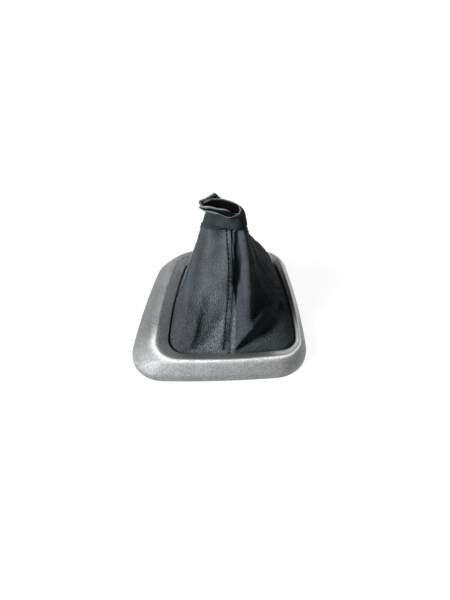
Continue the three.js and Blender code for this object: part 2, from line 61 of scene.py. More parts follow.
def undulation(points, wavelength, seed, waves=26):  # soft, even unevenness; points in millimetres
    draw = np.random.default_rng(seed)
    directions = unit(draw.normal(size=(waves, 3)))
    lengths = wavelength * draw.uniform(0.7, 1.5, waves)
    phases = draw.uniform(0.0, 2.0 * math.pi, waves)
    turns = points @ (directions * (2.0 * math.pi / lengths)[:, None]).T + phases
    return np.sin(turns).sum(-1) / math.sqrt(waves / 2.0)


def surfaceNormals(grid, closedColumns=False):
    if closedColumns:
        across = np.roll(grid, -1, axis=1) - np.roll(grid, 1, axis=1)
    else:
        across = np.gradient(grid, axis=1)
    up = np.gradient(grid, axis=0)
    return unit(np.cross(across, up))


def smoothBetween(a, b, c, d, t):  # from b to c, with a before them and d after
    return b + 0.5 * t * (c - a + t * (2 * a - 5 * b + 4 * c - d + t * (3 * (b - c) + d - a)))


def smoothThrough(points, steps):  # a smooth row of points through the given ones
    points = np.asarray(points, float)
    padded = np.vstack([2 * points[0] - points[1], points, 2 * points[-1] - points[-2]])
    rows = []
    for k in range(len(points) - 1):
        rows.append(smoothBetween(*padded[k : k + 4], np.linspace(0.0, 1.0, steps, endpoint=False)[:, None]))
    return np.vstack(rows + [points[-1:]])


def runningLengths(points):  # the distance along each row of points, from its first one
    steps = np.linalg.norm(np.diff(points, axis=-2), axis=-1)
    return np.concatenate([np.zeros(steps.shape[:-1] + (1,)), np.cumsum(steps, axis=-1)], axis=-1)


def gridFaces(rows, columns, closedRows=False, closedColumns=False, start=0):
    faces = []
    for row in range(rows if closedRows else rows - 1):
        for column in range(columns if closedColumns else columns - 1):
            up, right = (row + 1) % rows, (column + 1) % columns
            corners = ((row, column), (row, right), (up, right), (up, column))
            faces.append(tuple(start + r * columns + c for r, c in corners))
    return faces


def intoScene(thing):
    bpy.context.scene.collection.objects.link(thing)
    return thing


def makePiece(name, points, faces, material, paintedLight=None):  # points in millimetres
    mesh = bpy.data.meshes.new(name)
    mesh.from_pydata((np.asarray(points).reshape(-1, 3) * mm).tolist(), [], faces)
    mesh.update()
    mesh.shade_smooth()
    for each in material if isinstance(material, tuple) else (material,):
        mesh.materials.append(each)
    if paintedLight is not None:  # above 0 is painted highlight, and below 0 painted shade
        attribute = mesh.attributes.new("paintedLight", "FLOAT", "POINT")
        attribute.data.foreach_set("value", np.ravel(paintedLight).astype(np.float32))
    piece = intoScene(bpy.data.objects.new(name, mesh))
    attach(piece, "root")
    return piece


# The surround: its plan at the foot, and its section from the foot over the ridge to the lip.
surround = {
    "frontWidth": 150.5,
    "rearWidth": 120.0,
    "rearShift": 4.0,
    "sideLength": 154.0,
    "frontSkew": 5.0,
    "bow": [3.4, 4.2, 3.0, 4.3],  # front, right, rear, left
    "wallRun": {"front": 9.3, "right": 6.6, "rear": 8.5, "leftAtFront": 22.0, "leftAtRear": 15.5},
    "slopeRun": {"front": 10.2, "right": 2.4, "rear": 5.8, "leftAtFront": 10.5, "leftAtRear": 8.5},
    "ledge": {"front": 6.2, "right": 1.6, "rear": 5.0, "leftAtFront": 6.2, "leftAtRear": 6.2},
    "footReach": [30.0, 27.0, 19.0, 29.0],  # front left, front right, rear right, rear left
    "ridgeReach": [20.0, 17.0, 15.0, 19.0],
    "mouthReach": [15.0, 12.5, 12.5, 14.0],
    "section": [  # 0 to 1 is the wall's run inwards, 1 to 2 the slope's; then the height
        (0.0, 0.6), (0.006, 3.0), (0.016, 5.2), (0.05, 6.6), (0.1, 7.6), (0.25, 10.0), (0.42, 12.5),
        (0.6, 14.8), (0.75, 16.1), (0.88, 16.75), (0.96, 17.0), (1.03, 17.0), (1.1, 16.7), (1.5, 14.6),
        (1.9, 12.4), (1.98, 11.9), (2.0, 11.2),
    ],
    "sectionSteps": 5,
    "wall": 2.4,
    "lipHeight": 12.0,
    "ledgeHeight": 9.3,
    "ledgeTop": 13.4,
    "lipUnder": (1.985, 10.3),  # place and height
    "lipInside": 1.97,
    "ledgeLean": 0.12,
    "innerPlaces": (0.7, 0.55, 0.42, 0.26),  # where the inside follows the outside, from the ledge down
    "skirtInside": 3.8,
    "footChamfer": 0.5,
    "screws": [(0, 0.17), (0, 0.8), (3, 0.2), (3, 0.75)],  # side, in bow's order, and share along it
    "boss": {"radius": 3.3, "hole": 1.6, "chamfer": 0.3, "bottom": 7.8, "holeTop": 13.8, "top": 14.9,
             "steps": 36},
    "bossRun": {"front": 10.0, "right": 1.0, "rear": 1.0, "leftAtFront": 10.0, "leftAtRear": 10.0},
    "catches": [(1, 0.3), (1, 0.72), (2, 0.3), (2, 0.7)],
    "catch": {"length": 10.0, "thickness": 1.8, "top": 4.8, "overlap": 1.2, "chamfer": 0.4},
    "retainerReach": {"front": 13.4, "right": 4.0, "rear": 8.6, "leftAtFront": 13.4, "leftAtRear": 13.4},
    "steps": (30, 24),  # along each side, round each corner
    "cornerRoundness": 0.56,
    # painted light on the shell: a painted highlight along the crest and on the right band, and painted
    # shade on the left wall
    "tone": {"crestHighlight": 0.98, "crestWidth": 0.18, "crestAtRight": 0.6, "slope": 0.9, "wall": 0.4,
             "leftWallShade": -0.4},
}
footReach = np.array(surround["footReach"])
ridgeReach = np.array(surround["ridgeReach"])
mouthReach = np.array(surround["mouthReach"])


def runOffsets(run):
    return np.array([
        [run["leftAtFront"], run["front"]],
        [-run["right"], run["front"]],
        [-run["right"], -run["rear"]],
        [run["leftAtRear"], -run["rear"]],
    ])


def bezier(controls, t):
    t = np.asarray(t, float)[:, None]
    level = [np.asarray(control, float) + 0.0 * t for control in controls]
    while len(level) > 1:
        level = [a + (b - a) * t for a, b in zip(level, level[1:])]
    return level[0]


def roundedOutline(corners, reach, steps=surround["steps"]):
    sides = []
    for side in range(4):
        start, end = corners[side], corners[(side + 1) % 4]
        along = unit(end - start)
        control = (start + end) / 2 + 2 * surround["bow"][side] * np.array([along[1], -along[0]])
        sides.append((start, control, end))
    spans = []
    for side, curve in enumerate(sides):
        length = np.linalg.norm(np.diff(bezier(curve, np.linspace(0, 1, 60)), axis=0), axis=1).sum()
        spans.append((reach[side] / length, 1 - reach[(side + 1) % 4] / length))
    points = []
    for side, curve in enumerate(sides):
        low, high = spans[side]
        points.append(bezier(curve, np.linspace(low, high, steps[0], endpoint=False)))
        after = (side + 1) % 4
        following = sides[after]
        start, startAhead = bezier(curve, [high, high + 0.001])
        end, endAhead = bezier(following, [spans[after][0], spans[after][0] + 0.001])
        handle = reach[after] * surround["cornerRoundness"]
        bend = (start, start + unit(startAhead - start) * handle, end - unit(endAhead - end) * handle, end)
        points.append(bezier(bend, np.linspace(0, 1, steps[1], endpoint=False)))
    return np.vstack(points)


def footCorners():
    width, rear, shift = surround["frontWidth"] / 2, surround["rearWidth"] / 2, surround["rearShift"]
    length = surround["sideLength"] / 2
    corners = np.array([[-width, -length], [width, surround["frontSkew"] - length], [shift + rear, length],
                        [shift - rear, length]])
    ring = roundedOutline(corners, footReach)
    return corners - (ring.min(0) + ring.max(0)) / 2


foot = footCorners()
wallOffsets = runOffsets(surround["wallRun"])
slopeOffsets = runOffsets(surround["slopeRun"])
mouth = foot + wallOffsets + slopeOffsets


def atHeight(ring, z):
    return np.column_stack([ring, np.full(len(ring), z)])


def sectionRing(place, z):
    onWall, onSlope = min(place, 1.0), max(place - 1.0, 0.0)
    reach = mix(mix(footReach, ridgeReach, onWall), mouthReach, onSlope)
    return atHeight(roundedOutline(foot + wallOffsets * onWall + slopeOffsets * onSlope, reach), z)


def mouthRing(offsets, share, z):
    return atHeight(roundedOutline(mouth + offsets * share, mouthReach), z)


def placeOn(ring, position):  # whole numbers are the middles of the outline's corners
    sideSteps, cornerSteps = surround["steps"]
    stride = sideSteps + cornerSteps
    position = np.asarray(position, float)
    result = np.zeros(position.shape + (ring.shape[1],))
    for side in np.unique(np.floor(position)):
        index = side * stride - cornerSteps / 2 + np.linspace(0, stride, 2 * stride + 1)
        low = np.floor(index).astype(int)
        marks = mix(ring[low % len(ring)], ring[(low + 1) % len(ring)], (index - low)[:, None])
        lengths = runningLengths(marks)
        here = np.floor(position) == side
        target = (position[here] - side) * lengths[-1]
        for axis in range(ring.shape[1]):
            result[here, axis] = np.interp(target, lengths, marks[:, axis])
    return result


def surroundPaintedLight(x, y, place):  # painted highlight on the front crest and the right band, painted shade on the left wall
    tone = surround["tone"]
    atRight = ramp(38, 52, x)
    # painted highlight along the front crest, carried up the right side
    crestHighlight = bell(place - tone["crestHighlight"], tone["crestWidth"])
    crestHighlight = crestHighlight * np.maximum(ramp(-25, -55, y), tone["crestAtRight"] * atRight * ramp(20, -10, y))
    # painted highlight on the right wall and slope, standing in for reflected light
    wall = tone["wall"] * ramp(0.2, 0.7, place) * (place < 1.3) * ramp(-35, -5, y)
    band = tone["slope"] * bell(place - 1.6, 0.35) + wall
    paintedLight = np.maximum(crestHighlight, band * atRight * ramp(72, 45, y) * ramp(-72, -60, y))
    # painted shade on the left wall
    leftWallShade = tone["leftWallShade"] * ramp(0.85, 0.6, place) * (place >= 0)
    return paintedLight + leftWallShade * ramp(-48, -60, x) * ramp(-55, -30, y)


def buildSurround(material):
    section = smoothThrough(surround["section"], surround["sectionSteps"])
    outer = np.array([sectionRing(place, z) for place, z in section])
    normals = surfaceNormals(outer, closedColumns=True)
    ledge = runOffsets(surround["ledge"])

    def lowered(place):
        row = int(np.argmin(np.abs(section[:, 0] - place)))
        return outer[row] - normals[row] * surround["wall"]

    flatNormals = unit(normals[2] * [1, 1, 0])
    skirtInner = outer[0] - flatNormals * surround["wall"]
    chamfer = outer[0] - flatNormals * surround["footChamfer"]
    rings = np.array([
        *outer,
        sectionRing(*surround["lipUnder"]),
        sectionRing(surround["lipInside"], surround["ledgeHeight"]),
        mouthRing(ledge, -1.0, surround["ledgeHeight"]),
        mouthRing(ledge, -1.0 - surround["ledgeLean"], surround["ledgeTop"]),
        *[lowered(place) for place in surround["innerPlaces"]],
        atHeight(skirtInner[:, :2], surround["skirtInside"]),
        atHeight(skirtInner[:, :2], 0.0),
        atHeight(chamfer[:, :2], 0.0),
    ])
    points = [rings.reshape(-1, 3)]
    place = np.full(rings.shape[:2], -1.0)  # below 0 is the inside
    place[: len(section)] = section[:, :1]
    paintedLight = surroundPaintedLight(rings[..., 0], rings[..., 1], place)
    faces = gridFaces(rings.shape[0], rings.shape[1], closedRows=True, closedColumns=True)
    for part, partFaces in bossShapes() + catchShapes():
        start = sum(len(each) for each in points)
        points.append(part)
        faces += [tuple(start + corner for corner in face) for face in partFaces]
    points = np.vstack(points)
    paintedLight = np.concatenate([np.ravel(paintedLight), np.zeros(len(points) - paintedLight.size)])
    return makePiece("surround_shell", points, faces, material, paintedLight)


def bossShapes():  # moulded with the shell: a pillar for each screw, with its hole
    size = surround["boss"]
    hole, radius, bottom, chamfer = size["hole"], size["radius"], size["bottom"], size["chamfer"]
    middle = 0.02  # the radius at which an end closes
    profile = [
        (middle, size["holeTop"]), (hole, size["holeTop"]), (hole, bottom + chamfer),
        (hole + chamfer, bottom), (radius - chamfer, bottom), (radius, bottom + chamfer),
        (radius, size["top"]), (middle, size["top"]),
    ]
    angle = np.linspace(0, 2 * math.pi, size["steps"], endpoint=False)
    circle = np.column_stack([np.cos(angle), np.sin(angle)])
    line = mouthRing(runOffsets(surround["bossRun"]), -1.0, 0.0)
    shapes = []
    for side, share in surround["screws"]:
        centre = placeOn(line, np.array([side + share]))[0, :2]
        rings = [atHeight(centre + r * circle, z) for r, z in profile]
        shapes.append((np.vstack(rings), gridFaces(len(rings), len(angle), closedColumns=True)))
    return shapes


def catchShapes():  # ledges moulded inside the wall, which the retaining frame snaps over
    size = surround["catch"]
    thickness, chamfer = size["thickness"], size["chamfer"]
    wallLine = atHeight(roundedOutline(foot, footReach), 0.0)
    edge = roundedOutline(mouth - runOffsets(surround["retainerReach"]), mix(footReach, ridgeReach, 0.25))
    shapes = []
    for side, share in surround["catches"]:
        at, before, after = placeOn(wallLine, side + share + np.array([0, -0.02, 0.02]))[:, :2]
        along = unit(after - before)
        inward = np.array([-along[1], along[0]])
        start = surround["wall"] / 2
        end = np.linalg.norm(edge - at, axis=1).min() + size["overlap"]
        profile = [(start, 0.0), (end - chamfer, 0.0), (end, chamfer), (end, thickness), (start, thickness)]
        points = []
        for across, drop in profile:
            for length in (-size["length"] / 2, size["length"] / 2):
                points.append((*(at + inward * across + along * length), size["top"] - drop))
        faces = [(2 * k, 2 * k + 1, 2 * ((k + 1) % 5) + 1, 2 * ((k + 1) % 5)) for k in range(5)]
        faces += [(8, 6, 4, 2, 0), (1, 3, 5, 7, 9)]
        shapes.append((np.array(points), faces))
    return shapes


creasePath = [(0.8, 0.03), (1.45, 0.15), (2, 0.26), (2.6, 0.31)]  # drawn line and share of the height
groovePath = [(1.26, 1.0), (1.28, 0.8), (1.12, 0.62)]

# The boot's drawn lines, counter-clockwise from the front seam: where each stands round the mouth,
# its angle round the collar, and its pushes in x and y at a quarter, half and three quarters of the height.
boot = {
    "lines": [
        (0.46, -72, (1, -2), (2.5, -6), (2.5, -6)),
        (0.54, -60, (0.5, -2.5), (0, -3.5), (0, -2.5)),
        (0.7, -38, (-3, -6), (-0.8, -11), (1.2, -11)),
        (1, -12, (-7.0, 3.6), (-8.5, -1), (-4.4, -3)),
        (1.45, 15, (-1.5, -2), (-4.2, -2), (-3.2, -1)),
        (2, 48, (2.6, 1), (2.2, 0), (-1.2, -1)),
        (2.5, 90, (0, 1), (0, 2.5), (0, 2)),
        (3, 138, (0, 0), (-1, 1), (-1, 1)),
        (3.5, 180, (1.5, 0), (1, 0), (0, 0)),
        (4.02, 218, (1, -7), (-1.5, -9.5), (-3.5, -8)),
        (4.22, 250, (-1, -2.5), (-1, -7), (-1, -7)),
    ],
    "folds": [  # path as drawn line and share of the height, then height and width in millimetres
        (groovePath, -2.9, 3.1),
        ([(1.26, 1.0), (1.28, 0.8), (1.12, 0.6), (0.9, 0.42), (0.8, 0.3)], -0.6, 2.4),
        ([(2.0, 0.98), (2.0, 0.7), (1.9, 0.45), (1.75, 0.2)], 1.3, 2.8),
        ([(0.0, 0.97), (0.0, 0.5)], 0.7, 2.4),
        (creasePath + [(3.4, 0.28), (4, 0.2)], 3.0, 2.8),
        ([(0.8, 0.04), (1.45, 0.16), (2, 0.27), (2.6, 0.31)], 1.4, 3.0),
        ([(1.3, 0.03), (2.1, 0.12), (2.9, 0.17), (3.6, 0.14)], -4.6, 5.4),
        ([(2, 0.26), (2, 0.5), (2, 0.75), (2, 0.94)], 1.3, 2.6),
        ([(9, 0.1), (9, 0.4), (9, 0.7), (9, 0.94)], 1.2, 2.8),
        ([(11, 0.62), (10.9, 0.5), (10.6, 0.25), (10.1, 0.03)], -1.3, 5.6),
        ([(10.72, 0.36), (10.6, 0.25), (10.1, 0.03)], -1.3, 5.6),
        ([(9.75, 0.52), (9.6, 0.32), (9.45, 0.05)], 0.9, 4),
        ([(9.6, 0.28), (9.45, 0.05)], 0.8, 4),
        ([(10.85, 0.5), (10.75, 0.3), (10.65, 0.06)], 0.7, 4),
        ([(10.75, 0.26), (10.65, 0.06)], 0.6, 4),
        ([(5, 0.88), (5.1, 0.55), (5, 0.2)], 1.6, 4.5),
        ([(5.9, 0.62), (5.4, 0.3), (5.2, 0.08)], -1.8, 5),
        ([(7, 0.6), (6.6, 0.3), (6.5, 0.06)], -1.8, 5),
        ([(8.4, 0.55), (8.3, 0.2)], -1.6, 5),
    ],
    "leather": 1.2,
    "inset": 2.2,
    "flangeHeight": 8.4,
    "flangeBend": 1.5,
    "bendShare": 0.45,
    "flange": {"front": 5.0, "right": 3.4, "rear": 4.4, "leftAtFront": 5.0, "leftAtRear": 5.0},
    "rows": 128,
    "topRows": 20,  # of them, closer together above topStart
    "topStart": 0.95,
    "flangeRows": 12,
    "unevenness": {"wavelength": 14.0, "height": 0.18},
    "shadedPlaces": {  # how much painted shade each place takes; the look's shadeShare scales it
        "rightFace": 1.1, "rightBelowCrease": 0.25, "belowCrease": 0.75, "strip": 0.78, "groove": 1.15,
        "seam": 1.2, "leftEdge": 0.8, "leftTop": 0.6, "stitches": 0.9,
    },
}
collar = {
    "footHeight": 97.0,
    "footTilt": 3.2,
    "height": 18.5,
    "foot": (4.5, 4.4, 37.2, 25.0),  # x, y, width, depth
    "neck": (5.3, 3.6, 30.4, 20.5),
    "neckShare": 0.74,
    "squareness": 2.3,
    "leather": 1.3,
    "gap": 0.3,
    "tuck": 4.0,
    "fill": 1.5,  # the boot swells out again right under the collar's edge
    "fillMoreAtLeft": 0.4,
    "fillLessAtRight": {"by": 1.2, "at": 25, "width": 45},
    "fillReach": 15.0,
    "creaseWidth": (1.5, 0.4),  # elsewhere, and at the left
    "left": {"at": 190, "from": 45, "to": 82},
    "dent": {"depth": 2.4, "at": 270, "slant": 130, "width": 19, "below": 0.05, "above": 0.2},
    "columns": 360,
    "unevenness": {"wavelength": 9.0, "height": 0.12, "seed": 31},
    # painted shade on the left of the collar, below its rim
    "leftShade": -0.75,
}


collarRims = {  # each line round the mouth, counter-clockwise from the right: angle, x, y, z
    "outer": [
        (0, 17.4, 3.6, 112.4), (30, 16.4, 7.9, 113.2), (60, 10.0, 12.2, 113.9), (85, 3.6, 13.0, 115.6),
        (97, 0.4, 13.0, 117.6), (108, -3.4, 12.7, 121.6), (122, -6.7, 11.9, 120.3),
        (143, -9.9, 10.8, 118.9), (160, -12.9, 9.2, 118.1), (172, -15.1, 7.6, 118.0),
        (181, -15.9, 5.5, 117.6), (189, -14.8, 3.3, 116.0), (198, -15.9, 1.2, 115.6),
        (207, -12.4, -0.4, 114.3), (217, -9.6, -1.8, 114.2), (234, -6.2, -4.2, 115.4),
        (249, -3.1, -6.2, 115.6), (262, 0.3, -7.5, 115.5), (275, 3.7, -8.4, 114.2),
        (287, 7.1, -8.5, 112.9), (297, 9.7, -7.8, 112.7), (312, 12.3, -5.8, 112.6),
        (335, 15.6, -2.0, 111.8),
    ],
    "inner": [
        (0, 17.0, 3.5, 112.6), (30, 15.3, 7.5, 114.2), (60, 9.6, 11.5, 114.9), (85, 3.2, 12.0, 116.5),
        (108, -2.5, 10.9, 117.6), (125, -6.4, 10.2, 117.9), (143, -9.4, 9.1, 117.2),
        (160, -11.8, 7.6, 116.5), (172, -13.1, 6.1, 116.2), (181, -13.5, 4.6, 115.9),
        (190, -13.6, 3.0, 115.7), (199, -14.2, 1.6, 116.0), (212, -10.8, 0.5, 116.6),
        (228, -6.6, -1.0, 117.6), (250, -1.4, -3.0, 117.6), (270, 2.5, -4.0, 117.6),
        (284, 6.0, -4.3, 117.0), (296, 8.8, -4.2, 115.4), (307, 10.7, -3.6, 113.5),
        (325, 13.2, -1.6, 111.6), (345, 16.2, 0.8, 110.9),
    ],
}


def alongLines(values, position, turn=0.0):  # round a closed row of values, which gains turn each time round
    values = np.asarray(values, float)
    count = len(values)
    low = np.floor(position).astype(int)
    near = [values[(low + k) % count] + ((low + k) // count) * turn for k in (-1, 0, 1, 2)]
    return smoothBetween(*near, position - low)


def upHeights(levels, share):  # through five levels, from the foot to the collar
    stacked = np.stack(np.broadcast_arrays(*levels))
    place = np.clip(share, 0.0, 1.0) * 4
    low = np.minimum(np.floor(place).astype(int), 3)
    low, t = np.broadcast_arrays(low, place - low)

    def pick(index):
        return np.take_along_axis(stacked, np.clip(index, 0, 4)[None], 0)[0]

    return smoothBetween(*[pick(low + k) for k in (-1, 0, 1, 2)], t)


def angleFrom(degrees, at):
    return (degrees - at + 180) % 360 - 180


def ovalPoint(oval, degrees, grow):
    angle = np.radians(degrees)
    power = 2 / collar["squareness"]
    cosine, sine = np.cos(angle), np.sin(angle)
    x = oval[0] + (oval[2] / 2 + grow) * np.sign(cosine) * np.abs(cosine) ** power
    y = oval[1] + (oval[3] / 2 + grow) * np.sign(sine) * np.abs(sine) ** power
    return np.stack([x, y, 0 * x], axis=-1)


def rimPoint(degrees, grow, rim):  # a smooth closed line through the rim's points: angle, x, y, z
    table = np.array(rim, float)
    count = len(table)
    turned = np.concatenate([table[:, 0] - 360, table[:, 0], table[:, 0] + 360])
    position = np.interp(np.mod(degrees, 360), turned, np.arange(3 * count) - count)
    point = np.stack([alongLines(table[:, axis], position) for axis in (1, 2, 3)], axis=-1)
    ahead = np.stack([alongLines(table[:, axis], position + 0.1) for axis in (1, 2)], axis=-1)
    behind = np.stack([alongLines(table[:, axis], position - 0.1) for axis in (1, 2)], axis=-1)
    along = unit(ahead - behind)
    point[..., 0] += along[..., 1] * grow
    point[..., 1] -= along[..., 0] * grow
    return point


def creaseFree(degrees):  # 1 at the left, where the boot runs smoothly into the collar
    left = collar["left"]
    return 1 - ramp(left["from"], left["to"], np.abs(angleFrom(degrees, left["at"])))


def creaseDent(degrees, share):  # the pulled-in place beside the front seam, where the collar meets the boot
    dent = collar["dent"]
    along = degrees - dent["at"] + dent["slant"] * np.maximum(share, 0)
    fade = np.where(share < 0, bell(share, dent["below"]), bell(share, dent["above"]))
    return dent["depth"] * bell(angleFrom(along, 0), dent["width"]) * fade


def throughFour(p0, p1, p2, p3, share, marks):  # a centripetal curve through four points
    before, after = 2 * p0 - p1, 2 * p3 - p2
    row = [before, p0, p1, p2, p3, after]
    place = np.interp(share, marks, [0, 1, 2, 3])
    result = np.zeros(np.broadcast(p0, share[..., None]).shape)
    for segment in range(3):
        a, b, c, d = row[segment : segment + 4]
        spans = (b - a, c - b, d - c)
        step0, step1, step2 = [np.linalg.norm(span, axis=-1, keepdims=True) ** 0.5 for span in spans]
        start = ((b - a) / step0 - (c - a) / (step0 + step1) + (c - b) / step1) * step1
        end = ((c - b) / step1 - (d - b) / (step1 + step2) + (d - c) / step2) * step1
        t = np.clip(place - segment, 0, 1)[..., None]
        cubic = b + t * (start + t * (-3 * b + 3 * c - 2 * start - end + t * (2 * b - 2 * c + start + end)))
        chosen = (place >= segment) & (place <= segment + 1)
        result = np.where(chosen[..., None], cubic, result)
    return result


def collarSurface(degrees, share, grow, rim):
    degrees, share, grow = np.broadcast_arrays(np.asarray(degrees, float), share, grow)
    low = ovalPoint(collar["foot"], degrees, grow)
    low[..., 2] = collar["footHeight"] - collar["footTilt"] * np.sin(np.radians(degrees))
    high = rimPoint(degrees, grow, rim)
    neck = ovalPoint(collar["neck"], degrees, grow)
    neck[..., 2] = mix(low[..., 2], high[..., 2], collar["neckShare"])
    marks = [0, collar["neckShare"] / 2, collar["neckShare"], 1]
    point = throughFour(low, (low + neck) / 2, neck, high, np.clip(share, 0, 1), marks)
    dent = creaseDent(degrees, share)
    point[..., 0] -= dent * np.cos(np.radians(degrees))
    point[..., 1] -= dent * np.sin(np.radians(degrees))
    return point


evenInset = runOffsets({key: 1.0 for key in surround["wallRun"]})
bootFootRing = mouthRing(evenInset, boot["inset"], surround["lipHeight"])
bootGrow = -collar["leather"] - collar["gap"] - boot["leather"] / 2


def mouthPlace(line):
    return alongLines([row[0] for row in boot["lines"]], line, 4.0)


def collarAngle(line):
    return alongLines([row[1] for row in boot["lines"]], line, 360.0)


def drawnSurface(line, share):
    line, share = np.broadcast_arrays(np.asarray(line, float), np.asarray(share, float))
    low = placeOn(bootFootRing, mouthPlace(line))
    high = collarSurface(collarAngle(line), np.zeros_like(share), bootGrow, collarRims["outer"])
    point = mix(low, high, share[..., None])
    for axis in range(2):
        pushes = [alongLines([row[level][axis] for row in boot["lines"]], line) for level in (2, 3, 4)]
        point[..., axis] += upHeights([0 * line, *pushes, 0 * line], share)
    return point


def distanceTo(points, path):
    nearest = np.full(points.shape[:-1], np.inf)
    for start, end in zip(path, path[1:]):
        along = end - start
        t = np.clip(((points - start) @ along) / (along @ along), 0, 1)
        nearest = np.minimum(nearest, np.linalg.norm(points - start - t[..., None] * along, axis=-1))
    return nearest


def foldPath(path):
    lines, shares = np.array(path, float).T
    return drawnSurface(lines, shares)


def bootSurface(line, share):  # the outer face, with the folds
    point = drawnSurface(line, share)
    step = 0.02
    across = drawnSurface(line + step, share) - drawnSurface(line - step, share)
    up = drawnSurface(line, np.minimum(1, share + step)) - drawnSurface(line, np.maximum(0, share - step))
    out = unit(np.cross(across, up))
    fade = np.minimum(1, share / 0.06) * np.minimum(1, (1 - share) / 0.03)
    depth = 0
    for path, height, width in boot["folds"]:
        depth = depth + height * bell(distanceTo(point, foldPath(path)), width)
    below = (1 - share) * collar["footHeight"]
    degrees = collarAngle(line)
    atLeft, less = creaseFree(degrees), collar["fillLessAtRight"]
    fill = collar["fill"] + collar["fillMoreAtLeft"] * atLeft
    fill = fill - less["by"] * bell(angleFrom(degrees, less["at"]), less["width"])
    fill = fill * (1 - bell(below, mix(*collar["creaseWidth"], atLeft))) * bell(below, collar["fillReach"])
    dent = creaseDent(degrees, -below / collar["height"])
    return point + out * (depth * fade + fill - dent + boot["leather"] / 2)[..., None]


def flangeSurface(line, share):  # under the lip: a quarter turn, then out between lip and retaining frame
    position = mouthPlace(line)
    turn = (math.pi / 2) * np.minimum(1, share / boot["bendShare"])
    spread = np.maximum(0, (share - boot["bendShare"]) / (1 - boot["bendShare"]))
    rows = []
    for k in range(line.shape[0]):
        reach = boot["inset"] - boot["flangeBend"] * (1 - math.cos(turn[k, 0]))
        inner = placeOn(mouthRing(evenInset, reach, 0.0), position[k])
        outer = placeOn(mouthRing(runOffsets(boot["flange"]), -1.0, 0.0), position[k])
        row = mix(inner, outer, spread[k, 0])
        row[:, 2] = boot["flangeHeight"] + boot["flangeBend"] * (1 - math.sin(turn[k, 0]))
        rows.append(row)
    return np.array(rows)


seam = {
    "halfGap": 0.02,
    "turn": 1.0,
    "turnSteps": 5,
    "allowanceSteps": 3,
    "allowance": 3.2,
    "topAllowance": 2.0,
    "start": 0.15,
    "dip": 1.4,
    "dipReach": 2.2,
    "topFade": {"share": 0.95, "reach": 7.0},  # at the left the dip fades under the collar
    "blend": 3.0,
}
panels = {
    "front_right_panel": {"lines": (0, 4), "columns": 190, "seed": 3},
    "rear_right_panel": {"lines": (4, 6), "columns": 120, "seed": 5},
    "rear_left_panel": {"lines": (6, 8), "columns": 120, "seed": 7},
    "front_left_panel": {"lines": (8, 11), "columns": 150, "seed": 9},
}


def evenColumns(grid, columns, margin):
    rows = []
    for row in grid:
        lengths = runningLengths(row[:, :3])
        target = np.linspace(margin, lengths[-1] - margin, columns)
        rows.append(np.column_stack([np.interp(target, lengths, values) for values in row.T]))
    return np.array(rows)


def paintedShadeAt(line, share):  # painted shade: the places where the leather is painted darker for the shade that falls there
    shadedPlaces = boot["shadedPlaces"]
    below = ramp(0.01, -0.03, share - np.interp(line, *np.array(creasePath).T))
    rightShade = shadedPlaces["rightFace"] - shadedPlaces["rightBelowCrease"] * below * (line < 4)
    grooveLines, grooveShares = np.array(groovePath[::-1]).T
    fromGroove = line - np.interp(share, grooveShares, grooveLines)
    places = [
        ramp(1.9, 2.08, line) * (1 - ramp(5, 8, line)) * rightShade,
        shadedPlaces["belowCrease"] * (line > 0.8) * (line < 4) * below,
        shadedPlaces["strip"] * ramp(0.5, 0.9, line) * (line < 4),
        shadedPlaces["groove"] * bell(fromGroove, 0.24) * ramp(0.45, 0.65, share),
        shadedPlaces["seam"] * np.maximum(bell(line, 0.13), bell(len(boot["lines"]) - line, 0.06)),
        shadedPlaces["leftEdge"] * ramp(9.8, 9.15, line) * ramp(7.5, 8.3, line),
        shadedPlaces["leftTop"] * ramp(0.88, 0.99, share) * (line > 8.2),
    ]
    return np.maximum.reduce(places)


def seamNormals(line, heights):
    sides = bootSurface(*np.meshgrid([line - 0.05, line + 0.05], heights))
    return unit(np.cross(sides[:, 1] - sides[:, 0], np.gradient(sides.mean(1), axis=0)))


def turnedEdge(edge, seamLine, out, folded):  # the panel's edge, drawn to the seam and turned in
    away = seamLine - edge
    away -= out * (away * out).sum(-1, keepdims=True)
    reach = np.linalg.norm(away, axis=-1, keepdims=True) - seam["halfGap"]
    away = unit(away)
    drawn = np.minimum(1, 2.5 * folded)[:, None]
    turned = np.maximum(0, (folded - 0.4) / 0.6)[:, None]
    allowance = mix(seam["allowance"], seam["topAllowance"], np.linspace(0, 1, len(edge)))[:, None]
    turnSteps, allSteps = seam["turnSteps"], seam["turnSteps"] + seam["allowanceSteps"]
    rows = []
    for k in range(1, allSteps + 1):
        if k <= turnSteps:
            angle = (math.pi / 2) * k / turnSteps
            aside, depth = reach * math.sin(angle), seam["turn"] * (1 - math.cos(angle))
        else:
            aside, depth = reach, mix(seam["turn"], allowance, (k - turnSteps) / seam["allowanceSteps"])
        rows.append(edge + away * mix(k / allSteps * reach, aside, drawn) - out * depth * turned)
    return rows


def panelGrid(lines, heights):  # the flange, the face and the row tucked up under the collar
    body = bootSurface(*np.meshgrid(lines, heights))
    flangeShares = np.linspace(1, 0, boot["flangeRows"], endpoint=False)
    flange = flangeSurface(*np.meshgrid(lines, flangeShares))
    tuckShare = collar["tuck"] / collar["height"]
    tuck = collarSurface(collarAngle(lines), tuckShare, bootGrow + boot["leather"] / 2, collarRims["outer"])
    return np.concatenate([flange + surfaceNormals(flange) * boot["leather"] / 2, body, tuck[None]])


